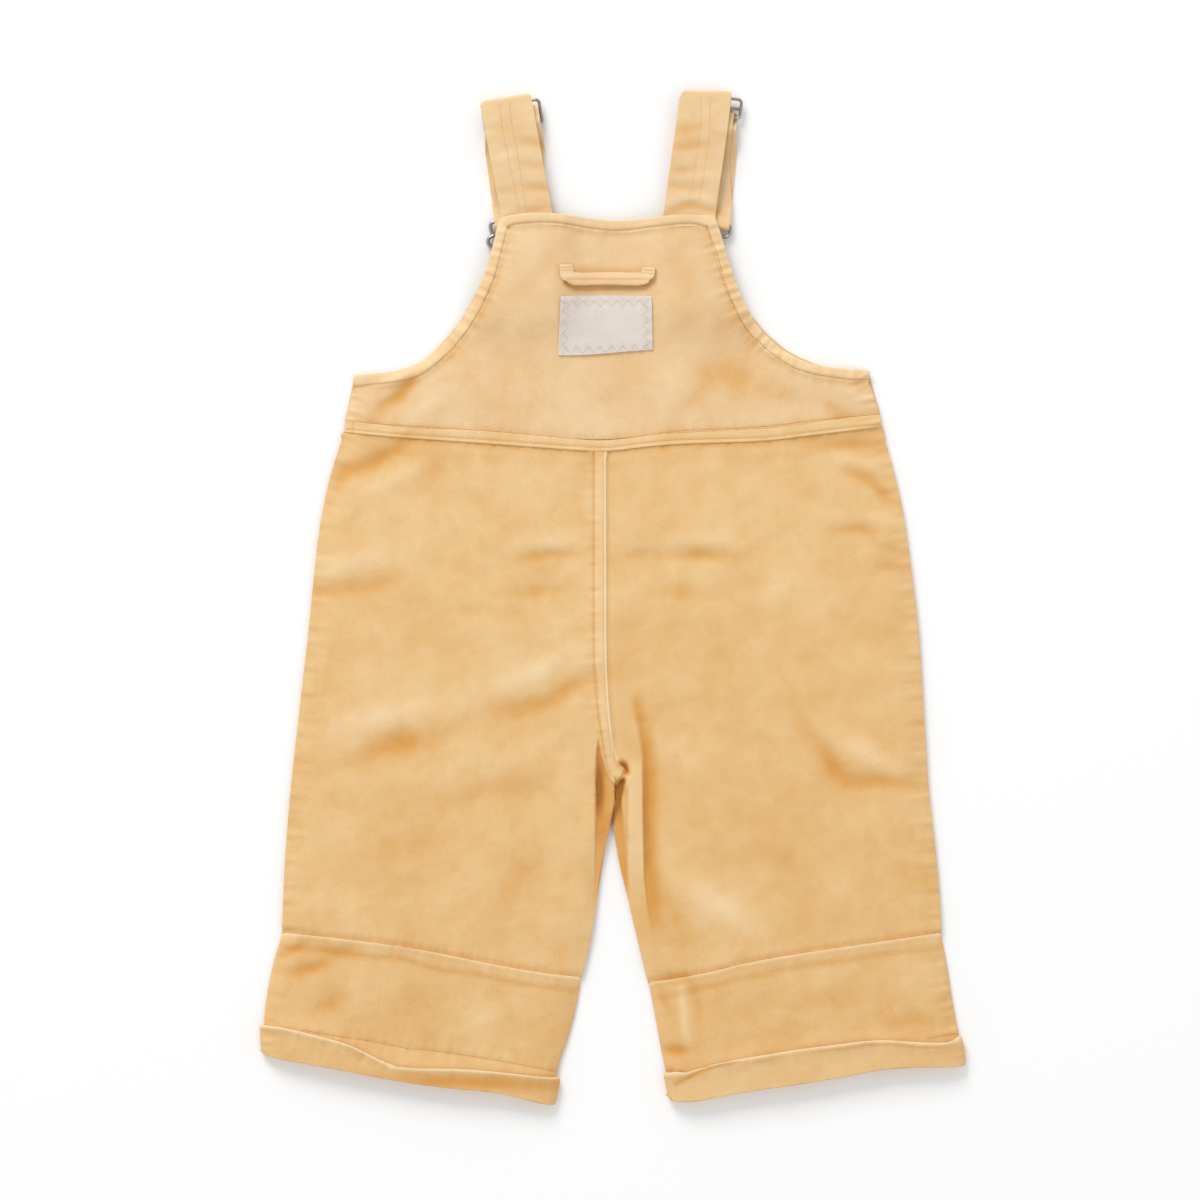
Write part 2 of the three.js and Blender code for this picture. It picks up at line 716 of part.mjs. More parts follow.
// Lower leg bands, closed tubes whose ends lie inside the turn-ups
function legBand(end) {
  const above = bandLine(end, end.lip, 6);
  const lip = bandLine(end, end.lip, 0);
  const last = bandLine(end, end.fold, END_GAP);
  const half = (u) => [0, 1].map((axis) => mix(lip(u)[axis], last(u)[axis], 0.5));
  const upper = coons(
    end.seam,
    above,
    lineByY(end.from, end.seam(0)[1], above(0)[1]),
    lineByY(end.to, end.seam(1)[1], above(1)[1]),
  );
  const plans = [...[0.004, 0.3, 0.65].map((v) => (u) => upper(u, v)), above, lip, half, last];
  const width = end.seam(1)[0] - end.seam(0)[0];
  const inside = (x, y) => backTop(x, y) - uprightWall(backBottom, x, y, CLOTH);
  return clothTube(plans.map((plan) => ({
    outer: tubeSection(plan, width, SEAM / 2, backTop, hemLift),
    inner: tubeSection(plan, width, CLOTH, inside, (x, y) => hemLift(x, y) + CLOTH),
  })));
}

// Turn-ups: each wraps a band from the lip to the fold, where it closes over the band's end
function turnUp(end) {
  const lip = lineByX(end.lip, end.lipFrom, end.lipTo);
  const fold = lineByX(end.fold, end.foldFrom, end.foldTo);
  const between = (share) => (u) => [0, 1].map((axis) => mix(lip(u)[axis], fold(u)[axis], share(u)));
  const nearFold = (u) => 1 - CLOTH / distance([...lip(u), 0], [...fold(u), 0]);
  const width = end.lipTo - end.lipFrom;
  const curl = (x, y) => 0.7 * Math.max(0, 1 - (end.lip(x) - y) / 5) * (1 + 0.5 * Math.sin(x / 9));
  const wallBottom = (x, y) => backTop(x, y) + SEAM + curl(x, y);
  const wallTop = (x, y) => wallBottom(x, y) + CLOTH;
  const overEnd = 2 * CLOTH + SEAM;
  const section = (share, overBand) => ({
    outer: tubeSection(between(share), width, 0, wallTop, () => 0),
    inner: overBand
      ? tubeSection(between(share), width, CLOTH, wallBottom, () => CLOTH)
      : tubeSection(between(share), width, overEnd, backBottom, () => overEnd),
  });
  return clothTube([
    section(() => 0, true),
    section((u) => 0.5 * nearFold(u), true),
    section(nearFold, true),
    section(nearFold, false),
    section(() => 1, false),
  ]);
}

LEG_ENDS.forEach((end) => {
  dungarees.add(named(`band_${end.side}`, legBand(end), clothPaint));
  dungarees.add(named(`turnup_${end.side}`, turnUp(end), clothPaint));
});

// Hanger loop and label, both stitched on the back bib and made from its surface
const bibMesh = dungarees.getObjectByName("back_bib");
const down = new THREE.Vector3(0, 0, -1);
const ray = new THREE.Raycaster();
function onBib(x, y) {
  ray.set(new THREE.Vector3(x, y, 50), down);
  return ray.intersectObject(bibMesh)[0].point.z + SEAM + 0.05;
}
const loopOuter = [
  [-30.2, 186], [-30, 180], [-28.6, 176.4], [-24, 174.2], [-8, 174.8], [6, 174.6], [17, 174.2], [21.6, 176.4],
  [23, 180], [23.4, 184.6],
];
const loopInner = [
  [-22.8, 186], [-22.8, 183], [-22.2, 181.8], [-20, 181.2], [-8, 181.8], [6, 181.8], [13, 181.2], [15.4, 181.8],
  [16, 182.6], [16.2, 184.6],
];
const loopArch = (x, y) => onBib(x, y) + 0.9 * ease((x + 30) / 14) * ease((23 - x) / 14);
const loopMiddle = loopInner.map((at, i) => [(at[0] + loopOuter[i][0]) / 2, (at[1] + loopOuter[i][1]) / 2]);
dungarees.add(named("hanger_loop", sheet([loopInner, loopMiddle, loopOuter], loopArch, () => 1.6), clothPaint));

const labelEdge = coons(
  (t) => [mix(-29.3, 21.1, t), 168.4 + 0.5 * Math.sin(3 * t)],
  (t) => [mix(-30.8, 21.8, t), mix(135.6, 138.8, t) - 0.4 * Math.sin(5 * t)],
  (t) => [mix(-29.3, -30.8, t), mix(168.4, 135.6, t)],
  (t) => [mix(21.1, 21.8, t), mix(168.4, 138.8, t)],
);
dungarees.add(named("label", sheet(gridOf(labelEdge, spread(14), spread(9)), onBib, () => 1), labelPaint));

// A path drawn tight round pins, given in the plane of a strap as along and up
function tightPath(pins) {
  const heading = pins.slice(1).map((pin, i) => {
    const from = pins[i];
    const along = pin.q - from.q;
    const up = pin.z - from.z;
    return Math.atan2(up, along) - Math.asin((pin.r * pin.turn - from.r * from.turn) / Math.hypot(along, up));
  });
  const stations = [];
  pins.forEach((pin, i) => {
    const incoming = i === 0 ? heading[0] : heading[i - 1];
    const outgoing = i === pins.length - 1 ? heading.at(-1) : heading[i];
    const full = 2 * Math.PI;
    let swing = (((outgoing - incoming) % full) + full) % full;
    if (pin.r > 0 && pin.turn < 0 && swing > 0) swing -= full;
    if (pin.r === 0 && swing > Math.PI) swing -= full;
    const steps = pin.r > 0 ? Math.max(1, Math.ceil(Math.abs(swing) / 0.45)) : 0;
    for (let k = 0; k <= steps; k += 1) {
      const angle = incoming + (pin.r > 0 ? (swing * k) / steps : swing / 2);
      const reach = pin.r * pin.turn;
      stations.push({
        q: pin.q + reach * Math.sin(angle),
        z: pin.z - reach * Math.cos(angle),
        angle,
        p: pin.p,
      });
    }
  });
  return stations;
}

// A strap of one folded thickness along a path
function ribbon(stations) {
  const half = STRAP_WIDTH / 2;
  const points = stations.flatMap((at) => {
    const lift = [-Math.sin(at.angle) * CLOTH * 0.5, Math.cos(at.angle) * CLOTH * 0.5];
    return [[-half, 1], [half, 1], [half, -1], [-half, -1]].map(([p, side]) => [
      at.p + p,
      at.q + lift[0] * side,
      at.z + lift[1] * side,
    ]);
  });
  const faces = [];
  for (let s = 0; s < stations.length - 1; s += 1) {
    for (let k = 0; k < 4; k += 1) {
      const next = (k + 1) % 4;
      faces.push(...patchFaces(points, 4 * s + k, 4 * s + next, 4 * s + 4 + next, 4 * s + 4 + k));
    }
  }
  const end = 4 * (stations.length - 1);
  faces.push([0, 2, 1], [0, 3, 2], [end, end + 1, end + 2], [end, end + 2, end + 3]);
  return geometry(points, faces);
}

// Round wire along a flat line at one height, closed or with flat ends
function wire(line, radius, height, closed) {
  const sides = 6;
  const count = line.length;
  const points = line.flatMap((at, i) => {
    const before = line[closed ? (i + count - 1) % count : Math.max(0, i - 1)];
    const after = line[closed ? (i + 1) % count : Math.min(count - 1, i + 1)];
    const size = Math.hypot(after[0] - before[0], after[1] - before[1]);
    const normal = [-(after[1] - before[1]) / size, (after[0] - before[0]) / size];
    return spread(sides + 1).slice(1).map((t) => {
      const angle = 2 * Math.PI * (t + 0.5 / sides);
      const out = radius * Math.cos(angle);
      return [at[0] + normal[0] * out, at[1] + normal[1] * out, height + radius * Math.sin(angle)];
    });
  });
  const faces = [];
  for (let i = 0; i < (closed ? count : count - 1); i += 1) {
    const here = sides * i;
    const there = sides * ((i + 1) % count);
    for (let k = 0; k < sides; k += 1) {
      const next = (k + 1) % sides;
      faces.push(...patchFaces(points, here + k, here + next, there + next, there + k));
    }
  }
  if (!closed) {
    const end = sides * (count - 1);
    for (let k = 1; k < sides - 1; k += 1) {
      faces.push([0, k + 1, k], [end, end + k, end + k + 1]);
    }
  }
  return geometry(points, faces);
}

// A solid for joining, its corners merged and its collapsed faces dropped
function solid(made) {
  const at = made.getAttribute("position");
  const corners = new Map();
  const points = [];
  const indexOf = (i) => {
    const point = [at.getX(i), at.getY(i), at.getZ(i)].map((value) => Math.round(value * 1e4) / 1e4 + 0);
    const key = point.join();
    if (!corners.has(key)) {
      corners.set(key, points.length);
      points.push(point);
    }
    return corners.get(key);
  };
  const order = made.index ? [...made.index.array] : Array.from({ length: at.count }, (_, i) => i);
  const faces = [];
  for (let i = 0; i < order.length; i += 3) {
    const [a, b, c] = order.slice(i, i + 3).map(indexOf);
    if (a !== b && b !== c && c !== a) faces.push(a, b, c);
  }
  return new wasm.Manifold(new wasm.Mesh({
    numProp: 3,
    vertProperties: Float32Array.from(points.flat()),
    triVerts: Uint32Array.from(faces),
  }));
}

function joined(parts) {
  const mesh = wasm.Manifold.union(parts.map(solid)).getMesh();
  const made = new THREE.BufferGeometry();
  made.setAttribute("position", new THREE.BufferAttribute(mesh.vertProperties, 3));
  made.setIndex(new THREE.BufferAttribute(mesh.triVerts, 1));
  const flat = made.toNonIndexed();
  flat.computeVertexNormals();
  return flat;
}

// Rounded oblong loop round a middle point
function oblong(halfWide, halfLong, corner) {
  const line = [];
  [[1, 1, 0], [-1, 1, 90], [-1, -1, 180], [1, -1, 270]].forEach(([sideX, sideY, from]) => {
    for (let k = 0; k <= 3; k += 1) {
      const angle = THREE.MathUtils.degToRad(from + 30 * k);
      line.push([
        sideX * (halfWide - corner) + corner * Math.cos(angle),
        sideY * (halfLong - corner) + corner * Math.sin(angle),
      ]);
    }
  });
  return line;
}

// Both straps, each with its slider, its buckle and the bib button
function strapSet(side, strap) {
  const wrap = WIRE + SEAM + CLOTH / 2;
  const outerWrap = wrap + CLOTH + SEAM;
  const hook = BUCKLE_WIRE + SEAM + CLOTH / 2;
  const ground = CLOTH / 2;
  const second = ground + CLOTH + SEAM;
  const over = SLIDER_Z + outerWrap + CLOTH + SEAM + 0.1;
  const foldRadius = 1.1;
  const pins = [
    { q: -67, z: 5.9, r: 0, turn: 1, p: strap.bib },
    { q: -52, z: 5.9, r: 0, turn: 1, p: strap.bib },
    { q: -11, z: over, r: 0, turn: 1, p: strap.fold },
    { q: strap.top, z: over - foldRadius, r: foldRadius, turn: -1, p: strap.fold },
    { q: SLIDER_PITCH, z: SLIDER_Z, r: wrap, turn: 1, p: strap.slot },
    { q: 0, z: SLIDER_Z, r: outerWrap, turn: -1, p: strap.slot },
    { q: -SLIDER_PITCH, z: SLIDER_Z, r: wrap, turn: 1, p: strap.slot },
    { q: -22, z: ground + 8, r: 8, turn: -1, p: strap.ground },
    { q: -BUCKLE_BAR, z: BUCKLE_Z, r: hook, turn: -1, p: strap.hook },
    { q: -BUCKLE_BAR + 12, z: second + 5, r: 5, turn: 1, p: strap.hook },
    { q: -22, z: ground + 8, r: 6.5, turn: 1, p: strap.back },
    { q: -SLIDER_PITCH, z: SLIDER_Z, r: outerWrap, turn: -1, p: strap.back },
    { q: 0, z: SLIDER_Z, r: wrap, turn: -1, p: strap.back },
    { q: -0.1, z: SLIDER_Z - wrap, r: 0, turn: 1, p: strap.back },
  ];
  const frame = new THREE.Group();
  frame.position.set(strap.x, strap.y, 0);
  frame.rotation.z = THREE.MathUtils.degToRad(strap.tilt);
  frame.add(named(`strap_${side}`, ribbon(tightPath(pins)), clothPaint));

  const bar = wire([[-SLIDER_HALF, 0], [SLIDER_HALF, 0]], WIRE, SLIDER_Z, false);
  const loop = wire(oblong(SLIDER_HALF, SLIDER_PITCH, 2.2), WIRE, SLIDER_Z, true);
  frame.add(named(`slider_${side}`, joined([loop, bar]), wirePaint));

  const slot = oblong(17.3, 3.6, 2.4).map(([x, y]) => [x + strap.hook, y - BUCKLE_BAR - 3.6]);
  const keyhole = [
    [-13, -7.2], [-16.4, -8.6], [-17.2, -11.6], [-15.2, -14.6], [-9, -18], [-5, -21], [-4, -24.2], [-5, -28],
    [-3, -31.6], [0, -33],
  ];
  const mirrored = keyhole.slice(0, -1).map(([x, y]) => [-x, y]).reverse();
  const hookLine = [...keyhole, ...mirrored].map(([x, y]) => [x + strap.hook, y - BUCKLE_BAR]);
  frame.add(named(`buckle_${side}`, joined([
    wire(slot, BUCKLE_WIRE, BUCKLE_Z, true),
    wire(hookLine, BUCKLE_WIRE, BUCKLE_Z, false),
  ]), wirePaint));

  const profile = [
    [0, 0],
    [7.6, 0],
    [BUTTON_RADIUS, 0.5],
    [BUTTON_RADIUS, 0.9],
    [7.8, CLOTH],
    [2.6, CLOTH],
    [2.6, 3.4],
    [0, 3.4],
  ].map(([x, y]) => new THREE.Vector2(x, y));
  const turned = new THREE.LatheGeometry(profile, 16).rotateX(Math.PI / 2);
  const button = named(`button_${side}`, joined([turned]), wirePaint);
  button.position.set(strap.hook, -BUCKLE_BAR - BUTTON_DROP, 0);
  frame.add(button);
  return frame;
}

dungarees.add(strapSet("left", STRAPS.left));
dungarees.add(strapSet("right", STRAPS.right));

export default dungarees;
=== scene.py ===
import math

import bmesh
import bpy
import numpy as np
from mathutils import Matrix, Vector
from mathutils.kdtree import KDTree


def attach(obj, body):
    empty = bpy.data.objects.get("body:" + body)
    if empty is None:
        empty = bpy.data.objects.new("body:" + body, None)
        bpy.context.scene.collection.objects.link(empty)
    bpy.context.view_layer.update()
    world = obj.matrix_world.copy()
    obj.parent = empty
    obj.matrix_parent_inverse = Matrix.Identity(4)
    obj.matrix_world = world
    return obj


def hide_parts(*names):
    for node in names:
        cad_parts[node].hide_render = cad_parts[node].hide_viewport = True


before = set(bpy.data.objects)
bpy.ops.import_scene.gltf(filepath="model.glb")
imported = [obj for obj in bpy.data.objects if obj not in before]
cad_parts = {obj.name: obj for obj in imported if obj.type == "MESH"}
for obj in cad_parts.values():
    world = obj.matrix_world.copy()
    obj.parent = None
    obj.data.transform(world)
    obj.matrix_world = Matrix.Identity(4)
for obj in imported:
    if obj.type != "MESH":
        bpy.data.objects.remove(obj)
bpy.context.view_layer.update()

# --- Front panels -----------------------------------------------------------
# Bib, waist strip and two legs of yellow cotton twill, sewn together. The garment lies on them, so
# they are flat and plain. The twill is soft. Its tone is painted paler where edges and ridges catch
# the light, as painted highlight, and deeper in its hollows, as painted shade.

MM = 0.001


def cloth_material(name, colour, deep, pale, rib=1.05, turn=-42, rib_depth=1.0):
    """Woven cotton with slanting ribs, rib in mm and turn in degrees.

    The attribute 'tone' is painted light and shade: above 0 it makes the colour deeper, as painted
    shade, below 0 paler, as painted highlight, and above 1 brown, as painted shade in the deepest
    hollows. Random unevenness also moves the colour between deep and pale.
    """
    made = bpy.data.materials.new(name)
    made.use_nodes = True
    tree = made.node_tree

    def node(kind, **sockets):
        new = tree.nodes.new(kind)
        for key, value in sockets.items():
            new.inputs[key.replace("_", " ")].default_value = value
        return new

    def maths(operation, first, second, third=0.0):
        new = tree.nodes.new("ShaderNodeMath")
        new.operation = operation
        for socket, value in zip(new.inputs, (first, second, third)):
            if isinstance(value, (int, float)):
                socket.default_value = value
            else:
                tree.links.new(value, socket)
        return new.outputs[0]

    shader = tree.nodes["Principled BSDF"]
    shader.inputs["Roughness"].default_value = 0.95
    shader.inputs["Sheen Weight"].default_value = 0.12
    shader.inputs["Sheen Roughness"].default_value = 0.5
    shader.inputs["Specular IOR Level"].default_value = 0.15
    place = tree.nodes.new("ShaderNodeTexCoord").outputs["Object"]
    turned = node("ShaderNodeMapping", Rotation=(0, 0, math.radians(turn)))
    tree.links.new(place, turned.inputs["Vector"])
    ribs = node("ShaderNodeTexWave", Scale=314 / rib, Distortion=1.6, Detail=2.0, Detail_Scale=0.4)
    ribs.bands_direction = "X"
    fibre = node("ShaderNodeTexNoise", Scale=900.0, Detail=4.0)
    cloudy = node("ShaderNodeTexNoise", Scale=22.0, Detail=5.0, Roughness=0.6)
    patchy = node("ShaderNodeTexNoise", Scale=85.0, Detail=3.0, Roughness=0.55, Distortion=0.6)
    tree.links.new(turned.outputs[0], ribs.inputs["Vector"])
    tree.links.new(place, fibre.inputs["Vector"])
    tree.links.new(place, cloudy.inputs["Vector"])
    tree.links.new(place, patchy.inputs["Vector"])
    tone = tree.nodes.new("ShaderNodeAttribute")
    tone.attribute_name = "tone"
    uneven = maths("MULTIPLY_ADD", cloudy.outputs["Fac"], 0.9, -0.42)
    uneven = maths("ADD", uneven, maths("MULTIPLY_ADD", patchy.outputs["Fac"], 0.75, -0.36))
    grain = maths("MULTIPLY_ADD", fibre.outputs["Fac"], 0.3, -0.15)
    slant = maths("MULTIPLY_ADD", ribs.outputs["Fac"], -0.4, 0.2)
    total = maths("ADD", maths("ADD", uneven, grain), maths("ADD", slant, tone.outputs["Fac"]))
    # The deep colour is painted shade and the pale one painted highlight; random unevenness and ribs mix them
    # too
    darker = tree.nodes.new("ShaderNodeMix")
    darker.data_type = "RGBA"
    darker.inputs[6].default_value = (*colour, 1)
    darker.inputs[7].default_value = (*deep, 1)
    tree.links.new(maths("MAXIMUM", total, 0.0), darker.inputs[0])
    # Above a tone of 1 the colour goes brown: painted shade in the deepest hollows
    brown = tree.nodes.new("ShaderNodeMix")
    brown.data_type = "RGBA"
    brown.inputs[7].default_value = (0.5 * deep[0], 0.4 * deep[1], 0.35 * deep[2], 1)
    tree.links.new(darker.outputs[2], brown.inputs[6])
    over_one = maths("MULTIPLY_ADD", tone.outputs["Fac"], 1.4, -1.4)
    tree.links.new(maths("MAXIMUM", over_one, 0.0), brown.inputs[0])
    paler = tree.nodes.new("ShaderNodeMix")
    paler.data_type = "RGBA"
    paler.inputs[7].default_value = (*pale, 1)
    tree.links.new(brown.outputs[2], paler.inputs[6])
    tree.links.new(maths("MAXIMUM", maths("MULTIPLY", total, -1.0), 0.0), paler.inputs[0])
    tree.links.new(paler.outputs[2], shader.inputs["Base Color"])
    bump = node("ShaderNodeBump", Strength=0.7, Distance=0.0002)
    height = maths("MULTIPLY_ADD", ribs.outputs["Fac"], rib_depth, fibre.outputs["Fac"])
    tree.links.new(height, bump.inputs["Height"])
    tree.links.new(bump.outputs["Normal"], shader.inputs["Normal"])
    return made


# Each cloth takes its colour, then a deep one for painted shade and a pale one for painted highlight
twill = cloth_material("twill", (0.80, 0.515, 0.235), (0.70, 0.33, 0.075), (0.92, 0.70, 0.42))
# twill_pale is the same twill made paler for the bibs, edging, straps and loop: painted light on these upper
# pieces
twill_pale = cloth_material("twill_pale", (0.815, 0.56, 0.30), (0.72, 0.36, 0.09), (0.93, 0.73, 0.46))


# An edge between faces at a greater angle than this, in radians, is a cut edge of the cloth
SHARP = 0.95


def divided(co, faces, rim, longest):
    """Halves the long edges of triangles until none is longer than asked, and keeps the rim's edges."""
    while True:
        total = len(co)
        ends = faces[:, [0, 1, 1, 2, 2, 0]].reshape(-1, 2)
        keys, where = np.unique(ends.min(1) * total + ends.max(1), return_inverse=True)
        middle = (co[keys // total] + co[keys % total]) / 2
        size = np.linalg.norm(co[keys // total] - co[keys % total], axis=1)
        long = size > (longest(middle[:, 0], middle[:, 1]) if callable(longest) else longest)
        if not long.any():
            return co, faces, rim
        new = np.full(len(keys), -1)
        new[long] = total + np.arange(long.sum())
        co = np.vstack([co, middle[long]])
        cut = new[where].reshape(-1, 3)
        half = new[np.searchsorted(keys, rim.min(1) * total + rim.max(1))]
        split = half >= 0
        rim = np.vstack([rim[~split], np.c_[rim[split, 0], half[split]], np.c_[half[split], rim[split, 1]]])
        count = (cut >= 0).sum(1)
        out = [faces[count == 0]]
        for k in range(3):
            face, at = np.roll(faces, -k, axis=1), np.roll(cut, -k, axis=1)
            one = (count == 1) & (at[:, 0] >= 0)
            out += [np.c_[face[one, 0], at[one, 0], face[one, 2]], np.c_[at[one, 0], face[one, 1:]]]
            two = (count == 2) & (at[:, 2] < 0)
            face, at = face[two], at[two]
            out.append(np.c_[at[:, 0], face[:, 1], at[:, 1]])
            first = np.linalg.norm(co[at[:, 0]] - co[face[:, 2]], axis=1)
            nearer = first < np.linalg.norm(co[face[:, 0]] - co[at[:, 1]], axis=1)
            out.append(np.c_[face[:, 0], at[:, 0], np.where(nearer, face[:, 2], at[:, 1])])
            out.append(np.c_[np.where(nearer, at[:, 0], face[:, 0]), at[:, 1], face[:, 2]])
        face, at = faces[count == 3], cut[count == 3]
        out += [np.c_[face[:, 0], at[:, 0], at[:, 2]], np.c_[at[:, 0], face[:, 1], at[:, 1]]]
        out += [np.c_[at[:, 2], at[:, 1], face[:, 2]], at]
        faces = np.vstack(out)


def fine_wall(node, longest, relax=22, rounding=0.4, reach=0.18):
    """A fine copy of a CAD wall: divided, its facets relaxed, its cut edges let out and rounded.

    longest, the edge length, and reach, how far edges are let out, are in mm or give it for places in mm.
    relax is how many steps relax the facets, and rounding the width of the bevel on each cut edge in mm.
    """
    wall = bmesh.new()
    wall.from_mesh(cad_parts[node].data)
    bmesh.ops.remove_doubles(wall, verts=wall.verts, dist=3e-6)
    wall.normal_update()
    wall.verts.index_update()
    rim = [[v.index for v in edge.verts] for edge in wall.edges if edge.calc_face_angle(0) > SHARP]
    co = np.array([v.co for v in wall.verts]) / MM
    faces = np.array([[v.index for v in face.verts] for face in wall.faces])
    wall.free()
    co, faces, rim = divided(co, faces, np.array(rim), longest)
    ends = faces[:, [0, 1, 1, 2, 2, 0]].reshape(-1, 2)
    on_rim = np.zeros(len(co), bool)
    on_rim[rim.ravel()] = True
    # Each rim point follows its neighbours along the rim, each other point those all round it
    pairs = np.vstack([rim, rim[:, ::-1], ends[~on_rim[ends[:, 0]]]])
    to, of = pairs.T
    count = np.bincount(to, minlength=len(co))
    loose = count > 0
    corner = np.zeros(len(co), bool)
    along = {}
    for a, b in pairs[: 2 * len(rim)]:
        along.setdefault(a, []).append(b)
    for at, near in along.items():
        runs = [co[b, :2] - co[at, :2] for b in near]
        size = math.prod(np.linalg.norm(run) for run in runs)
        corner[at] = len(runs) != 2 or -np.dot(*runs) < 0.82 * size
    share = np.where(corner, 0.0, np.where(on_rim, 0.5, 0.25))
    for step in range(max(relax, 40)):
        for axis in (0, 1, 2) if step < relax else (0, 1):
            mean = np.bincount(to, weights=co[of, axis], minlength=len(co))[loose] / count[loose]
            co[loose, axis] += (share[loose] if axis < 2 else 0.6) * (mean - co[loose, axis])
    mesh = bpy.data.meshes.new(node)
    mesh.from_pydata((co * MM).tolist(), [], faces.tolist())
    wall = bmesh.new()
    wall.from_mesh(mesh)
    bpy.data.meshes.remove(mesh)
    wall.normal_update()
    wall.verts.ensure_lookup_table()
    outward = {}
    for face in wall.faces:
        if abs(face.normal.z) < 0.5:
            for v in face.verts:
                if on_rim[v.index]:
                    outward[v] = outward.get(v, Vector()) + face.normal * face.calc_area()
    for v, way in outward.items():
        way.z = 0
        if way.length > 0:
            v.co += way.normalized() * (reach(v.co.x / MM, v.co.y / MM) if callable(reach) else reach) * MM
    edges = [wall.edges.get([wall.verts[i] for i in pair]) for pair in rim]
    near = KDTree(int(on_rim.sum()))
    for i in np.nonzero(on_rim)[0]:
        near.insert(wall.verts[i].co, i)
    near.balance()
    made = bmesh.ops.bevel(wall, geom=edges, offset=rounding * MM, segments=3, profile=0.5, affect="EDGES")
    # A bevel can run far out at a sharp corner, so its points are kept near the edge
    farthest = 1.5 * rounding * MM
    for v in made["verts"]:
        at, _, away = near.find(v.co)
        if away > farthest:
            v.co = at + (v.co - at) * (farthest / away)
    return wall


def piece_from(wall, name, material, shape=None, plan=None):
    """A shown piece from a bmesh. For points in mm, plan gives new plan places, shape new heights and tones."""
    bmesh.ops.triangulate(wall, faces=wall.faces)
    mesh = bpy.data.meshes.new(name)
    wall.to_mesh(mesh)
    wall.free()
    co = np.empty(len(mesh.vertices) * 3)
    mesh.vertices.foreach_get("co", co)
    co = co.reshape(-1, 3) / MM
    if plan is not None:
        co[:, 0], co[:, 1] = plan(*co.T)
    if shape is not None:
        co[:, 2], tone = shape(*co.T)
        mesh.attributes.new("tone", "FLOAT", "POINT").data.foreach_set("value", np.clip(tone, -1, 1.65))
    mesh.vertices.foreach_set("co", (co * MM).ravel())
    mesh.materials.append(material)
    mesh.polygons.foreach_set("use_smooth", np.ones(len(mesh.polygons), bool))
    mesh.update()
    piece = bpy.data.objects.new(name, mesh)
    bpy.context.scene.collection.objects.link(piece)
    return piece


def laid(piece, node):
    """Puts a cloth piece in its CAD node's place: hides the node and attaches the piece to the root."""
    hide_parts(node)
    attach(piece, "root")


def front_reach(x, y):
    """How far the front panels' edges are let out, in mm: more where they meet, less at the sides."""
    return 0.2 if abs(x) > 120 else 0.5


for node, cloth, longest, relax, reach, flat, area in (
    ("front_bib", twill_pale, 6, 22, 0.18, (0.300, 0.113), 0.0207),
    ("front_waistband", twill, 4, 22, front_reach, (0.302, 0.0125), 0.0022),
    ("front_leg_left", twill, 8, 0, front_reach, (0.187, 0.306), 0.0484),
    ("front_leg_right", twill, 8, 0, front_reach, (0.188, 0.311), 0.0495),
):
    laid(piece_from(fine_wall(node, longest, relax, reach=reach), node, cloth), node)

# --- Back legs --------------------------------------------------------------
# Two twill panels. The left one laps over the right down the middle and is sewn with two rows; the
# lap curls over at the crotch, and each leg folds along its inseam. Creases run as they were dropped.

# Seam rows, as plan points in mm
LAP_ROW = [(-11.1, 81), (-11.1, 21), (-10.9, -35), (-8.9, -62), (-5.9, -82), (-4.4, -91), (-2.4, -97.5)]
LAP_ROW += [(0.6, -101)]
RIDGE_ROW = [(-5.8, 81), (-5.6, 21), (-5.4, -35), (-4.0, -62), (-1.6, -82), (-0.2, -89), (2.0, -93.6)]
RIDGE_ROW += [(6.6, -98.4)]
BAND_ROW_LEFT = [(-184.6, -187.3), (-157.6, -189.8), (-136.4, -192.1), (-118.4, -194.3), (-78.7, -202.2)]
BAND_ROW_LEFT += [(-53.5, -207.2), (-28.6, -211.1), (-17.9, -212.2)]
BAND_ROW_RIGHT = [(20.4, -215), (26, -214.5), (43.4, -211.1), (60.8, -207.8), (69.2, -204.7), (72, -204.4)]
BAND_ROW_RIGHT += [(112.8, -197.1), (182.8, -187.4)]
# Lower edge of the waist strip, which the legs hang from
WAIST_X = (-150, -121.8, -68, -25, -4.2, 13.7, 35.6, 84.8, 110.6, 149.6)
WAIST_Y = (92.4, 89.6, 86, 82.6, 81.6, 83.8, 86, 87.2, 90.6, 95)
# Free edges: y, left and right side; then y, left and right inseam
SIDES = [(-284, -197, 197), (-255, -197.5, 197), (-242, -198, 193.5), (-219.5, -194, 189), (-187, -185.4, 183.4)]
SIDES += [(-152, -184, 181), (-107, -180.6, 176), (-63, -175.6, 173.3), (-18, -170.5, 170.5), (27, -166, 165)]
SIDES += [(49, -162.7, 161.6), (72, -157.6, 156.5), (94, -151, 150), (116, -146.4, 146), (128, -119, 140)]
SIDES += [(139, -97, 93), (150, -87.6, 81), (161, -80.4, 74), (185, -70.3, 66), (212, -63.6, 58)]
INSEAMS = [(-284, -29, 27), (-268, -29, 27), (-242, -23.2, 24.4), (-219.5, -19.3, 19.9), (-197, -13.7, 15.4)]
INSEAMS += [(-175, -9.8, 9.8), (-152, -7.6, 4.2), (-130, -2.5, -0.6)]

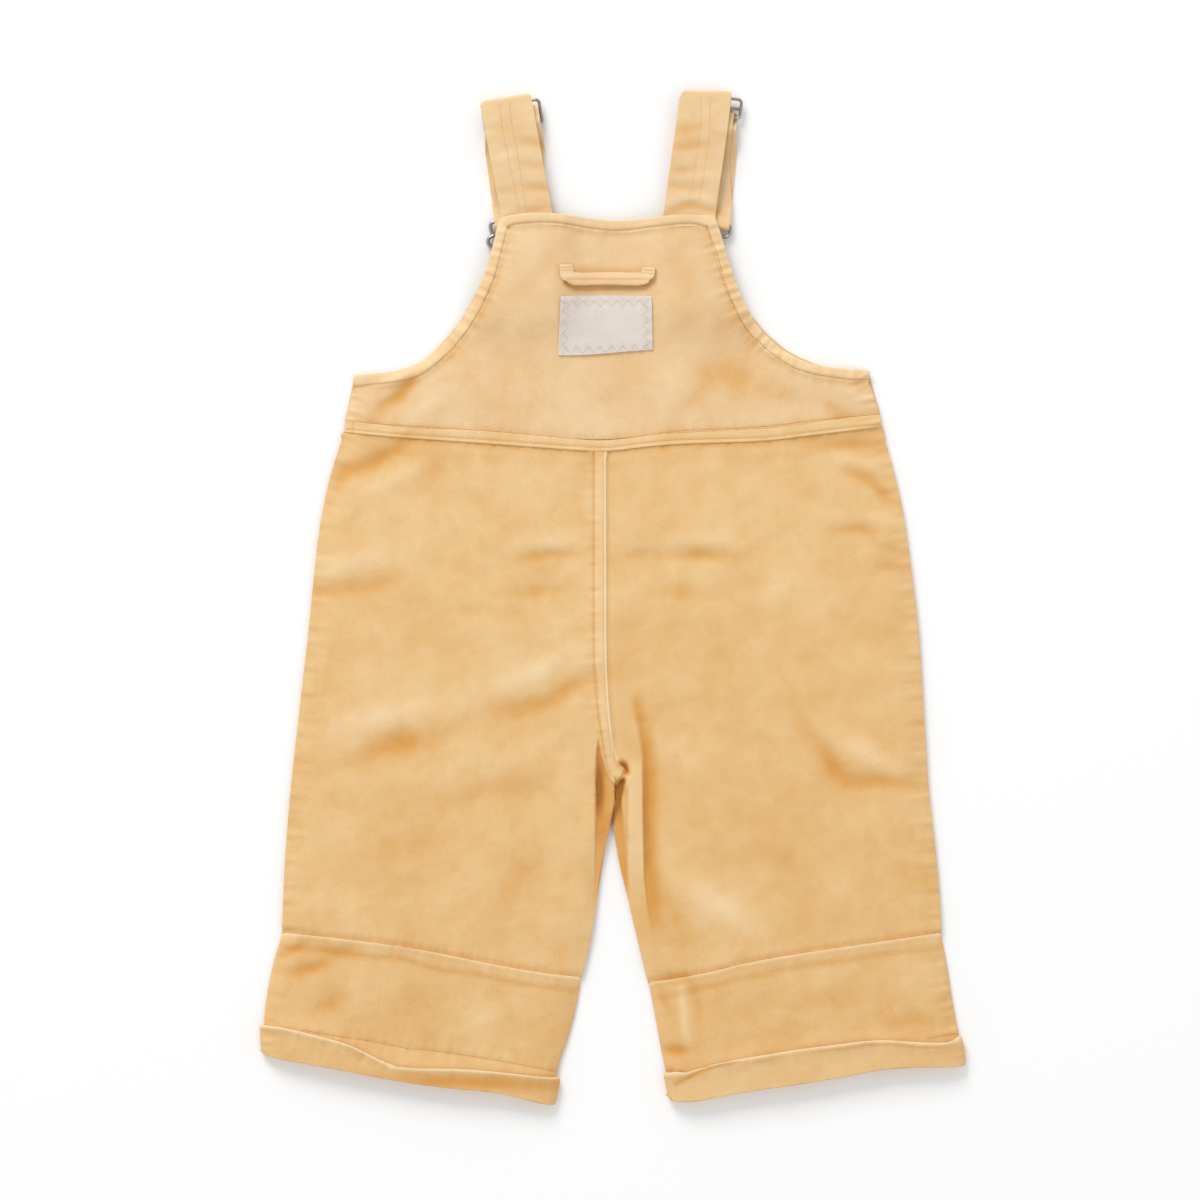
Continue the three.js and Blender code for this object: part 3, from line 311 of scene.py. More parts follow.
# Creases and soft waves: middle x and y, direction in degrees, half length, half width, height, in mm
CREASES = [
    (-118, 116, 48, 13, 4.0, -1.3), (-128, 108, 28, 9, 3.5, -0.8),
    (-109, 104, 42, 14, 4.5, 0.4), (-136, 99, 12, 9, 3.0, -0.4),
    (-84, 128, 120, 22, 5.0, -0.35), (-60, 112, 60, 18, 7.0, -0.3),
    (69, 122, 170, 19, 8.0, -0.7), (96, 112, 162, 13, 5.0, -0.35),
    (44, 108, 52, 30, 6.0, -0.4), (124, 106, 150, 12, 4.0, -0.7),
    (134, 113, 152, 9, 3.0, 0.4), (8, 128, 85, 12, 7.0, -0.25),
    (40, 178, 100, 22, 7.0, -0.4), (-40, 182, 50, 16, 6.0, -0.4),
    (-134, 77, 27, 21, 5.0, -1.4), (-124, 66, 30, 20, 5.0, 0.6),
    (-151, 66, 58, 10, 3.0, -0.6), (-100, 70, 50, 18, 6.0, -0.4),
    (130, 86, 174, 20, 4.5, -1.1), (138, 67, 150, 12, 3.5, -0.8),
    (151, 59, 138, 9, 3.0, -0.7), (140, 76, 155, 14, 3.5, 0.5),
    (136, 37, 178, 13, 3.5, -0.8), (150, 44, 168, 10, 3.0, 0.4),
    (157, 27, 160, 10, 3.5, -0.6), (158, 17, 172, 12, 3.5, -0.6),
    (92, 4, 30, 22, 7.0, 0.3), (-36, 23, 1, 19, 3.2, -0.8),
    (-36, 31, 1, 19, 4.5, 0.4), (15, 23, 3, 14, 3.0, -0.5),
    (50, 23, 1, 18, 3.8, -1.0), (50, 32, 1, 17, 4.5, 0.4),
    (-43, 4, 2, 17, 4.0, -0.6), (40, 3, 0, 13, 4.0, -0.6),
    (-146, 6, 8, 25, 5.0, -0.8), (-150, 18, 8, 22, 6.0, 0.5),
    (-74, -8, 4, 26, 6.0, -0.3), (-36, -56, 21, 31, 6.0, -1.1),
    (-42, -41, 21, 32, 7.0, 0.7), (-124, -84, 17, 31, 7.0, -1.0),
    (-130, -68, 14, 32, 8.0, 0.7), (-66, -108, 14, 31, 8.0, -0.6),
    (-80, -92, 14, 28, 7.0, 0.3), (-120, -140, 20, 27, 8.0, -0.4),
    (-52, -160, 66, 24, 8.0, -0.4), (124, -94, -56, 14, 5.0, -1.0),
    (152, -104, 1, 21, 5.0, -1.1), (142, -88, -36, 25, 7.0, 0.7),
    (108, -72, -56, 17, 6.0, -0.5), (60, -172, -42, 27, 8.0, 0.8),
    (34, -178, -70, 21, 6.0, -0.6), (98, -150, -46, 30, 9.0, -0.4),
    (-169, -206, 15, 13, 4.0, -1.1), (-178, -196, 40, 9, 3.0, -0.8),
    (-152, -198, -8, 13, 4.0, -0.8), (-160, -227, 30, 13, 5.0, -0.6),
    (-112, -228, 24, 20, 7.0, -0.45), (-70, -236, 30, 18, 6.0, 0.4),
    (35, -212, 0, 8, 3.5, -1.0), (35, -252, 0, 8, 3.2, -1.2),
    (39, -231, 102, 19, 2.6, 0.9), (46, -228, 102, 18, 3.2, -0.5),
    (28, -224, 100, 11, 3.0, -0.6), (165, -238, 6, 17, 4.0, -0.5),
    (118, -226, 25, 22, 7.0, -0.4), (92, -236, 10, 24, 5.0, 0.3),
]


def ease(t):
    t = np.clip(t, 0, 1)
    return t * t * (3 - 2 * t)


def waves(x, y, size, seed):
    """Smooth uneven waves, about -1 to 1, of about the given size in mm."""
    random = np.random.RandomState(seed)
    total = np.zeros_like(x)
    for _ in range(8):
        turn, phase = random.uniform(0, math.tau, 2)
        pace = math.tau / (size * random.uniform(0.7, 1.6))
        total += np.sin((x * math.cos(turn) + y * math.sin(turn)) * pace + phase)
    return total / 3.5


def nearest_on(line, x, y):
    """Distance in mm from points to a line, and the way along it."""
    best = np.full(x.shape, 1e9)
    way = np.zeros_like(best)
    start = 0.0
    for a, b in zip(line[:-1], line[1:]):
        run = (b[0] - a[0], b[1] - a[1])
        size = math.hypot(*run)
        share = np.clip(((x - a[0]) * run[0] + (y - a[1]) * run[1]) / size**2, 0, 1)
        away = np.hypot(x - a[0] - share * run[0], y - a[1] - share * run[1])
        nearer = away < best
        best[nearer] = away[nearer]
        way[nearer] = start + share[nearer] * size
        start += size
    return best, way


def smooth_line(points, step=5):
    """A Catmull-Rom line through plan points."""
    points = [np.array(p, float) for p in points]
    out = []
    for i in range(len(points) - 1):
        p = [points[min(max(i + k, 0), len(points) - 1)] for k in (-1, 0, 1, 2)]
        for t in (k / step for k in range(step)):
            bend = (2 * p[0] - 5 * p[1] + 4 * p[2] - p[3]) * t**2 + (3 * p[1] - p[0] - 3 * p[2] + p[3]) * t**3
            out.append(tuple(0.5 * (2 * p[1] + (p[2] - p[0]) * t + bend)))
    return out + [tuple(points[-1])]


def across(rows, column, y):
    """Reads a side or inseam table at each y."""
    ordered = sorted(rows)
    return np.interp(y, [r[0] for r in ordered], [r[column] for r in ordered])


def height_over(row, x, y):
    """Distance in mm above a seam that runs across the garment, and whether it is in its span."""
    inside = ease((x - row[0][0] + 3) / 3) * ease((row[-1][0] + 3 - x) / 3)
    return y - np.interp(x, [p[0] for p in row], [p[1] for p in row]), inside


def room(x, y):
    """How far the back stands off the front, in mm: none at the free edges."""
    gap = np.minimum(x - across(SIDES, 1, y), across(SIDES, 2, y) - x)
    inner = np.where(x < 0, across(INSEAMS, 1, y) - x, x - across(INSEAMS, 2, y))
    below = ease((-118 - y) / 18)
    gap = np.minimum(gap, inner * below + 40 * (1 - below))
    return 1.7 * ease((gap + 1) / 15)


def gathers(line, x, y, reach, high, seed):
    """Small uneven gathers along a sewn line."""
    away, way = nearest_on(line, x, y)
    ripple = np.sin(way * math.tau / 7.3 + seed) + np.sin(way * math.tau / 11.9 + 2 * seed)
    ripple += 0.8 * np.sin(way * math.tau / 4.7 + 3 * seed)
    return high * ripple * 0.45 * np.exp(-((away / reach) ** 2))


def dip(line, x, y, reach):
    """1 on a line, falling to 0 at about twice the reach in mm."""
    away, _ = nearest_on(line, x, y)
    return np.exp(-((away / reach) ** 2))


def crotch(x, y):
    """Folds beside the crotch: height in mm, and tone, which is painted shade in the hollows and painted
    highlight on the raised parts.

    On the left a hollow runs from the leg's fold to the lap. On the right come the inseam's hollow, a
    flat strip and a trough. The lap's end swells to a bulb, with a pocket beside it and a crevice under it.
    """
    fold = np.interp(y, [-175, -150, -100, -90, -80, -70], [-11.2, -10.6, -10.5, -10.2, -9.2, -8.6])
    lap = np.interp(y, [-106, -103, -98, -89, -82, -62], [2.5, -0.5, -3.4, -6.3, -7.6, -9.1])
    fade = ease((-74 - y) / 12) * ease((y + 178) / 28)
    left = ease((x - fold) / 1.0) * fade * (1 - ease((x - lap + 1.0) / 1.6) * ease((y + 110) / 6)) * (x < 8)
    up = [-162, -143, -125, -114, -107, -103.6, -97, -93]
    edge = np.interp(y, up, [8.6, 7.2, 5.4, 4.6, 4.9, 6.2, 8.0, 7.7])
    right = (1 - ease((x - edge + 0.7) / 0.9)) * ease((-98 - y) / 6) * ease((y + 172) / 22) * (x > 0.6)
    shade = np.interp(y, [-200, -157, -117, -104, -89, -73, -60], [22, 17.0, 16.2, 16.2, 15.7, 12.2, 8.7])
    off = x - shade
    soft = np.interp(y, [-117, -92, -62], [1.3, 2.0, 6])
    trough = ease((off + 0.4) / soft) * (1 - ease((off - 1.5) / 10.5))
    trough *= ease((-46 - y) / 20) * ease((y + 206) / 60)
    pocket = dip([(4.8, -93.0), (6.6, -94.4), (7.4, -97.4)], x, y, 1.8)
    crevice = dip([(5.2, -102.5), (4.2, -106), (3.8, -108), (2.6, -112)], x, y, 1.5)
    crevice = np.maximum(crevice, dip([(2.6, -112), (1.0, -118), (-1.0, -127)], x, y, 1.0))
    bulb = np.exp(-(((x - 1.6) / 4.6) ** 2) - ((y + 101) / 4.5) ** 2) * ease((8.2 - x) / 1.5)
    plateau = ease((x - edge) / 0.8) * (1 - ease((off + 0.4) / 1.0))
    plateau *= ease((-88 - y) / 10) * ease((y + 182) / 46)
    high = -1.7 * left - 1.5 * right - 1.1 * trough - 2.4 * pocket - 2.6 * crevice + 0.8 * bulb + 0.6 * plateau
    deepest = np.exp(-(((x - fold - 1.8) / 4.4) ** 2) - ((y + 106) / 21) ** 2)
    under_bulb = dip([(4.4, -103.6), (3.2, -108)], x, y, 2.1)
    # Painted shade in the hollow, trough, pocket, crevices and under the bulb, brown in the deepest; painted
    # highlight on plateau and bulb
    tone = left * (0.6 + 1.3 * deepest) + 0.3 * right + 1.15 * trough + 1.9 * pocket + 1.95 * crevice
    tone += 1.0 * right * np.exp(-(((y + 110) / 10) ** 2)) - 0.35 * plateau - 0.35 * bulb + 1.2 * under_bulb
    return high, tone


def creased(rows, x, y, wander=0.0):
    """Height in mm of a table of creases, which wander to both sides by so many mm."""
    total = 0 * x
    for cx, cy, turn, long, wide, high in rows:
        c, s = math.cos(math.radians(turn)), math.sin(math.radians(turn))
        along = ((x - cx) * c + (y - cy) * s) / long
        aside = ((y - cy) * c - (x - cx) * s + wander * np.sin((x * c + y * s) / 9 + cx)) / wide
        total += high * np.exp(-(along**2) - aside**2)
    return total


def relief(x, y):
    """What creases, gathers and slight waves add to the back, in mm, and their tone: painted shade in hollows,
    painted highlight on ridges.
    """
    slight = 0.26 * waves(x, y, 44, 3) + 0.14 * waves(x, y, 17, 8) + 0.05 * waves(x, y, 7, 21)
    folds = creased(CREASES, x, y, 1.2)
    total = slight + folds
    # Painted shade deepens the hollows of creases and waves, and painted highlight pales their ridges
    tone = -0.25 * slight - 0.75 * folds
    # The tone grows paler from the legs' low ends up to the bib, as painted light; the right leg is a
    # little deeper in tone than the left
    tone += 0.05 * (x > 20) * (y > -195) - 0.16 * ease((y + 140) / 240)
    for side in (1, 2):
        line = [(row[side], row[0]) for row in sorted(SIDES)]
        total += gathers(line, x, y, 9, 0.55, side + 0.3)
    at, inside = crotch(x, y)
    return room(x, y) + total + at, tone + inside


def raised(z, high):
    """Heights after the relief. It fades out near the front panel, so that walls never cross."""
    return z + np.maximum(high, -0.35) * ease((z - 1.25) / 1.15)


def leg_shape(x, y, z):
    high, tone = relief(x, y)
    sewn = dip(LAP_ROW, x, y, 0.9)
    high += -0.35 * sewn + gathers(LAP_ROW, x, y, 4, 0.22, 0.7) - 0.2 * dip(RIDGE_ROW, x, y, 0.8)
    # Painted shade in the groove of the lap's row
    tone += 0.35 * sewn
    lap = ease((x - np.interp(y, [p[1] for p in LAP_ROW[::-1]], [p[0] for p in LAP_ROW[::-1]]) - 0.5) / 1.2)
    ridge_x = np.interp(y, [p[1] for p in RIDGE_ROW[::-1]], [p[0] for p in RIDGE_ROW[::-1]])
    on_lap = lap * (1 - ease((x - ridge_x - 2.4) / 0.5)) * ease((y + 97) / 8)
    # Painted highlight on the raised lap
    tone -= 0.28 * on_lap
    # Its edge stands up as a cord with painted highlight, and the step beside it takes painted shade
    cord = dip([(px + 1.1, py + 0.3) for px, py in RIDGE_ROW], x, y, 0.6)
    high += 0.35 * cord
    tone -= 0.6 * cord
    edge = np.exp(-(((x - ridge_x - 3.1) / 0.9) ** 2)) * ease((y + 92) / 6)
    high -= 0.3 * edge
    tone += 0.2 * edge
    # Above each band seam the leg dips, with painted shade
    for row in (BAND_ROW_LEFT, BAND_ROW_RIGHT):
        up, inside = height_over(row, x, y)
        high += inside * (gathers(row, x, y, 6, 0.3, 0.4) - 0.5 * np.exp(-((up / 2.6) ** 2)))
        tone += inside * 0.3 * np.exp(-(((up - 1.2) / 1.5) ** 2))
    # Under the waist strip the leg takes a painted shadow
    under_strip = y - np.interp(x, WAIST_X, WAIST_Y)
    high += gathers(list(zip(WAIST_X, WAIST_Y)), x, y, 6, 0.2, 2.1) - 0.15 * np.exp(-((under_strip / 2.6) ** 2))
    tone += 0.45 * np.exp(-(((under_strip + 1) / 2) ** 2)) + 0.18 * np.exp(-(((under_strip + 7) / 4) ** 2))
    return raised(z, high), tone


def leg_mesh(x, y):
    """Edge length by place: finer by the crotch and the seams."""
    near = np.minimum(nearest_on(LAP_ROW + [(-4, -160)], x, y)[0], nearest_on([(15, -60), (17, -170)], x, y)[0])
    near = np.minimum(near, np.abs(y - np.interp(x, WAIST_X, WAIST_Y)) + 3)
    for row in (BAND_ROW_LEFT, BAND_ROW_RIGHT):
        near = np.minimum(near, np.abs(height_over(row, x, y)[0]) + 3.5)
    return np.interp(near, (2, 5, 14), (0.8, 1.3, 3.0))


def leg_plan(x, y, z):
    """The end of the lap bends to one side round the bulb."""
    return x + 5.5 * np.exp(-(((y + 96.5) / 4.2) ** 2) - ((x - 1.5) / 7) ** 2), y


def leg_reach(x, y):
    """How far a leg's edges are let out, in mm: most at the crotch, where the legs touch."""
    if y > np.interp(x, WAIST_X, WAIST_Y) - 3:
        return 1.1
    return 0.3 + 0.75 * math.exp(-(((y + 121) / 14) ** 2)) * (abs(x) < 12)


legs = []
for side, flat, area in (("left", (0.187, 0.306), 0.0494), ("right", (0.188, 0.311), 0.0496)):
    node = f"back_leg_{side}"
    legs.append(piece_from(fine_wall(node, leg_mesh, 44, 0.25, leg_reach), node, twill, leg_shape, leg_plan))
    laid(legs[-1], node)

# Stitches are short lengths of yellow thread that dip into the cloth at both ends. The thread is
# deeper than the cloth: partly its own colour, partly painted shade of the dimples it sinks into.
thread = cloth_material("thread", (0.64, 0.35, 0.10), (0.52, 0.26, 0.06), (0.72, 0.45, 0.17), rib=0.5, turn=25)


def stitch_tree():
    """Geometry nodes that lay one thread for each stitch along a row of edges."""
    tree = bpy.data.node_groups.new("stitch_row", "GeometryNodeTree")
    face = tree.interface
    face.new_socket("Geometry", in_out="INPUT", socket_type="NodeSocketGeometry")
    for name, value in (("Pitch", 0.0019), ("Length", 0.00145), ("Thickness", 0.00034)):
        face.new_socket(name, in_out="INPUT", socket_type="NodeSocketFloat").default_value = value
    face.new_socket("Thread", in_out="INPUT", socket_type="NodeSocketMaterial")
    face.new_socket("Geometry", in_out="OUTPUT", socket_type="NodeSocketGeometry")
    new, link = tree.nodes.new, tree.links.new
    given, out = new("NodeGroupInput"), new("NodeGroupOutput")
    curve, points = new("GeometryNodeMeshToCurve"), new("GeometryNodeCurveToPoints")
    points.mode = "LENGTH"
    stitch, shaped = new("GeometryNodeMeshUVSphere"), new("GeometryNodeTransform")
    stitch.inputs["Segments"].default_value = 8
    stitch.inputs["Rings"].default_value = 5
    stitch.inputs["Radius"].default_value = 0.5
    sizes = new("ShaderNodeCombineXYZ")
    link(given.outputs["Thickness"], sizes.inputs[0])
    link(given.outputs["Thickness"], sizes.inputs[1])
    link(given.outputs["Length"], sizes.inputs[2])
    link(stitch.outputs["Mesh"], shaped.inputs["Geometry"])
    link(sizes.outputs[0], shaped.inputs["Scale"])
    uneven = new("FunctionNodeRandomValue")
    uneven.data_type = "FLOAT_VECTOR"
    uneven.inputs[0].default_value = (0.85, 0.85, 0.86)
    uneven.inputs[1].default_value = (1.15, 1.15, 1.1)
    uneven.inputs["Seed"].default_value = 4
    place = new("GeometryNodeInstanceOnPoints")
    real, smooth = new("GeometryNodeRealizeInstances"), new("GeometryNodeSetShadeSmooth")
    paint = new("GeometryNodeSetMaterial")
    link(given.outputs["Geometry"], curve.inputs["Mesh"])
    link(curve.outputs["Curve"], points.inputs["Curve"])
    link(given.outputs["Pitch"], points.inputs["Length"])
    link(points.outputs["Points"], place.inputs["Points"])
    link(points.outputs["Rotation"], place.inputs["Rotation"])
    link(shaped.outputs["Geometry"], place.inputs["Instance"])
    link(uneven.outputs[0], place.inputs["Scale"])
    link(place.outputs["Instances"], real.inputs["Geometry"])
    link(real.outputs["Geometry"], smooth.inputs["Geometry"])
    link(smooth.outputs["Geometry"], paint.inputs["Geometry"])
    link(given.outputs["Thread"], paint.inputs["Material"])
    link(paint.outputs["Geometry"], out.inputs["Geometry"])
    return tree


STITCH = stitch_tree()


def sewn(name, rows, cloths, pitch=1.9, length=1.45, thick=0.36, sink=0.04, yarn=thread):
    """Rows of stitches in mm, laid on the highest of the given cloths."""
    bpy.context.view_layer.update()
    points, edges = [], []
    for row in rows:
        last = None
        for a, b in zip(row[:-1], row[1:]):
            steps = max(1, round(math.hypot(b[0] - a[0], b[1] - a[1]) / 0.9))
            for k in range(steps + (b == row[-1])):
                x, y = a[0] + (b[0] - a[0]) * k / steps, a[1] + (b[1] - a[1]) * k / steps
                hits = [c.ray_cast(Vector((x * MM, y * MM, 0.05)), Vector((0, 0, -1))) for c in cloths]
                tops = [at.z for hit, at, _, _ in hits if hit]
                if not tops:
                    last = None
                    continue
                points.append((x * MM, y * MM, max(tops) - sink * MM))
                if last is not None and abs(points[last][2] - points[-1][2]) < 0.0009:
                    edges.append((last, len(points) - 1))
                last = len(points) - 1
    mesh = bpy.data.meshes.new(name)
    mesh.from_pydata(points, edges, [])
    row_piece = bpy.data.objects.new(name, mesh)
    bpy.context.scene.collection.objects.link(row_piece)
    layer = row_piece.modifiers.new("stitches", "NODES")
    layer.node_group = STITCH
    values = {"Pitch": pitch * MM, "Length": length * MM, "Thickness": thick * MM, "Thread": yarn}
    for socket in STITCH.interface.items_tree:
        if socket.in_out == "INPUT" and socket.name in values:
            layer[socket.identifier] = values[socket.name]
    made = bpy.data.meshes.new_from_object(row_piece.evaluated_get(bpy.context.evaluated_depsgraph_get()))
    row_piece.modifiers.clear()
    row_piece.data = made
    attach(row_piece, "root")


sewn("stitches_centre", [smooth_line(LAP_ROW), smooth_line(RIDGE_ROW)], legs)

# --- Back waist strip -------------------------------------------------------
# A narrow folded strip of twill between bib and legs, sewn along both edges.

UPPER_ROW = [(-144.8, 99.1), (-113.4, 95.2), (-73.1, 94.1), (-33.3, 90.7), (-7.6, 88.5), (24.4, 91.8)]
UPPER_ROW += [(88.8, 95.2), (121.2, 99.7), (148.1, 103)]
LOWER_ROW = [(-148.6, 94.4), (-121.8, 91.9), (-68, 88.3), (-25, 85.1), (-4.2, 84), (13.7, 86.2), (35.6, 88.4)]
LOWER_ROW += [(84.8, 89.8), (110.6, 93), (148.6, 97.4)]
STRIP_ROW = [(-145.4, 101.4), (-145.9, 90.6)]


def strip_shape(x, y, z):
    high, tone = relief(x, y)
    high += gathers(UPPER_ROW, x, y, 5, 0.2, 2.1)
    tone -= 0.15
    # Each row sinks the strip into a groove with painted shade in it
    for row in (UPPER_ROW, LOWER_ROW, STRIP_ROW):
        high -= 0.28 * dip(row, x, y, 0.75)
        tone += 0.3 * dip(row, x, y, 0.7)
    return raised(z, high), tone


waist = piece_from(fine_wall("back_waistband", 1.4, 30), "back_waistband", twill, strip_shape)
laid(waist, "back_waistband")
sewn("stitches_waist", [smooth_line(UPPER_ROW), smooth_line(LOWER_ROW), STRIP_ROW], [waist])

# --- Back bib ---------------------------------------------------------------
# One twill panel between the armholes, the neck and the waist strip.

ARMHOLE_LEFT_ROW = [(-144.8, 117.9), (-122.4, 120), (-111, 122.5), (-103, 127), (-97, 132), (-88.2, 140)]
ARMHOLE_LEFT_ROW += [(-75.3, 158), (-68, 173.9), (-65.2, 181), (-60.2, 200), (-58.6, 206.4)]
NECK_ROW = [(-58.6, 206.4), (-54, 208.2), (-34, 209), (-13, 206), (3.6, 204.8), (29, 207.4), (42.8, 208.4)]
NECK_ROW += [(51.5, 206.8)]
ARMHOLE_RIGHT_ROW = [(51.5, 206.8), (56.8, 191.8), (63, 171.4), (72, 152.3), (81.5, 141.7), (95.5, 130.8)]
ARMHOLE_RIGHT_ROW += [(110, 124.9), (131.9, 121.5), (144.2, 121.5)]
EDGE_ROWS = [smooth_line(ARMHOLE_LEFT_ROW), smooth_line(NECK_ROW), smooth_line(ARMHOLE_RIGHT_ROW)]
EDGE_ROW = EDGE_ROWS[0] + EDGE_ROWS[1][1:] + EDGE_ROWS[2][1:]


def bib_shape(x, y, z):
    high, tone = relief(x, y)
    high += gathers(EDGE_ROW, x, y, 5, 0.26, 1.3)
    high += 0.7 * dip(EDGE_ROW, x, y, 2.0) - 0.3 * dip(EDGE_ROW, x, y, 5.5)
    # Painted shade along the edging's row and in the dip inside it
    tone += 0.1 * dip(EDGE_ROW, x, y, 1.2) + 0.22 * dip(EDGE_ROW, x, y, 4)
    high += gathers(UPPER_ROW, x, y, 6, 0.35, 2.1) - 0.3 * dip(UPPER_ROW, x, y, 1.6)
    # Painted shade along the waist strip's upper row
    tone += 0.2 * dip(UPPER_ROW, x, y, 2.2) + 0.05
    # Shade below and above the hanger loop
    tone += 0.9 * dip([(-27, 176), (-21.5, 173), (17, 173), (22.4, 176.5)], x, y, 1.3)
    tone += 0.4 * dip([(-21.5, 184), (15, 183)], x, y, 1.6)
    return raised(z, high), tone


def bib_mesh(x, y):
    return np.interp(nearest_on(EDGE_ROW, x, y)[0], (5, 14), (1.3, 2.6))


bib = piece_from(fine_wall("back_bib", bib_mesh, 40), "back_bib", twill_pale, bib_shape)
laid(bib, "back_bib")

# --- Edging of armholes and neck --------------------------------------------
# A folded strip of the same twill, turned over the bib's edge and sewn with one row, so that it
# stands up a little and puckers.


def edging_shape(x, y, z):
    away, _ = nearest_on(EDGE_ROW, x, y)
    high, tone = relief(x, y)
    # Painted shade along the sewn row, and painted highlight paling the outer edge
    tone += 0.15 * np.exp(-(((away - 1) / 0.7) ** 2)) - 0.08 - 0.25 * ease((away - 4.4) / 1.8)
    high += gathers(EDGE_ROW, x, y, 7, 0.3, 1.3) + 0.2 * waves(x, y, 19, 31)
    high -= 0.2 * np.exp(-(((away - 0.9) / 0.8) ** 2)) + 0.5 * ease((1.6 - away) / 1.6)
    rounded = 0.3 * np.sin(math.pi * np.clip(away / 6.3, 0, 1)) * ease((z - 2.3) / 0.6)
    return raised(z, high) + rounded, tone


edging = piece_from(fine_wall("back_edging", 1.3, 30, reach=0.3), "back_edging", twill_pale, edging_shape)
laid(edging, "back_edging")


def beside(line, by):
    """A plan line moved to its left-hand side, in mm."""
    out = []
    for i, (x, y) in enumerate(line):
        a, b = line[max(i - 1, 0)], line[min(i + 1, len(line) - 1)]
        size = math.hypot(b[0] - a[0], b[1] - a[1])
        out.append((x - (b[1] - a[1]) / size * by, y + (b[0] - a[0]) / size * by))
    return out


sewn("stitches_edging", [beside(row, 0.9) for row in EDGE_ROWS], [edging, bib], thick=0.5, sink=-0.02)

# --- Lower leg bands --------------------------------------------------------
# A closed band of twill on each leg. Its seam allowance shows through as a soft line below the seam,
# a low trough with painted shade in it.

HEM_ROW_LEFT = [(-173.3, -241.6), (-160.9, -243.7), (-148, -245.9), (-136, -247.5), (-122, -250.3)]
HEM_ROW_LEFT += [(-114, -252), (-103, -252.6), (-66, -258.2), (-30.5, -265)]
HEM_ROWS_RIGHT = [[(176.1, -246.2), (184, -244.6), (192.4, -243.6)], [(29.2, -264.4), (39.2, -264.6)]]


def band_shape(x, y, z):
    high, tone = relief(x, y)
    tone += 0.1 - 0.05 * (x < 0)
    for row in (BAND_ROW_LEFT, BAND_ROW_RIGHT):
        up, inside = height_over(row, x, y)
        step = up + 8.3 + 0.9 * waves(x, 0 * y, 30, 5)
        high += inside * (gathers(row, x, y, 7, 0.35, 0.9) + 0.4 * np.exp(-((up / 1.8) ** 2)))
        high += inside * (0.3 * ease((step + 0.5) / 1.6) - 0.35 * np.exp(-((step / 2.2) ** 2)))
        # Painted highlight on the band's top edge at the seam and between it and the allowance's line, painted
        # shade on that line
        tone += inside * (0.3 * np.exp(-((step / 2.4) ** 2)) - 0.8 * np.exp(-(((up + 0.2) / 0.9) ** 2)))
        tone -= inside * 0.12 * ease(step / 2) * ease(-up / 2)
    for row in [HEM_ROW_LEFT] + HEM_ROWS_RIGHT:
        high += gathers(row, x, y, 6, 0.4, 1.9) - 0.3 * dip(row, x, y, 1.1)
        # Painted shade in each hem row's groove
        tone += 0.25 * dip(row, x, y, 0.9)
    return raised(z, high), tone


def band_mesh(x, y):
    """Edge length by place: finer by the hem."""
    return np.where(y < -246, 1.8, 2.4)


bands = []
for node, area in (("band_left", 0.0238), ("band_right", 0.0236)):
    bands.append(piece_from(fine_wall(node, band_mesh, 24, 0.3, 0.3), node, twill, band_shape))
    laid(bands[-1], node)
sewn("stitches_hems", [smooth_line(HEM_ROW_LEFT)] + HEM_ROWS_RIGHT, bands, thick=0.4, sink=0.0)

# --- Turn-ups ---------------------------------------------------------------
# The hem of each leg turned up outwards by hand, so its lip wanders and stands off the band.

LIP_LEFT = [(-198.3, -238.6), (-186.8, -239.5), (-172.2, -243), (-157.9, -246.4), (-146.4, -249.8)]
LIP_LEFT += [(-136.4, -254.8), (-124, -261.6), (-108.4, -262.9), (-91, -262.9), (-62.4, -264.9), (-29.4, -268.2)]
LIP_RIGHT = [(28, -265.9), (34.4, -265.7), (40.6, -265.2), (46, -263.4), (51.8, -261.5), (58.5, -259.4)]
LIP_RIGHT += [(66.4, -258.2), (83.7, -255.4), (103.9, -252), (127.7, -249.2), (141, -247), (157.1, -247)]
LIP_RIGHT += [(171.6, -248.5), (184, -248.5), (192, -247.2), (196.6, -245.4)]
# How far the ends of the right lip stand up from their cut, at each x, in mm
INNER_RISE = ((28, 34.4, 40.6, 46, 51.8), (7.6, 5.8, 1.9, 1.0, 0))
OUTER_RISE = ((187, 191, 194, 197), (0, 1.0, 2.8, 3.8))
# The crease that runs down from the inner end of the right lip
LIP_CREASE = [(34.8, -271.9), (50.7, -263.4), (58.8, -261.2), (70, -259.6)]


def rounded(x, y, tilt, sizes):
    """Plan places of a piece with its four corners rounded, from its tilt and their radii in mm."""
    for k, size in enumerate(sizes):
        turn = math.radians(tilt + 45 + 90 * k)
        at = np.argmax(x * math.cos(turn) + y * math.sin(turn))
        c, s = math.cos(turn - math.pi / 4), math.sin(turn - math.pi / 4)
        along = (x - x[at]) * c + (y - y[at]) * s + size
        aside = (y - y[at]) * c - (x - x[at]) * s + size
        pull = np.where((along > 0) & (aside > 0), np.maximum(along, aside) / np.hypot(along, aside) - 1, 0)
        x, y = x + pull * (along * c - aside * s), y + pull * (along * s + aside * c)
    return x, y


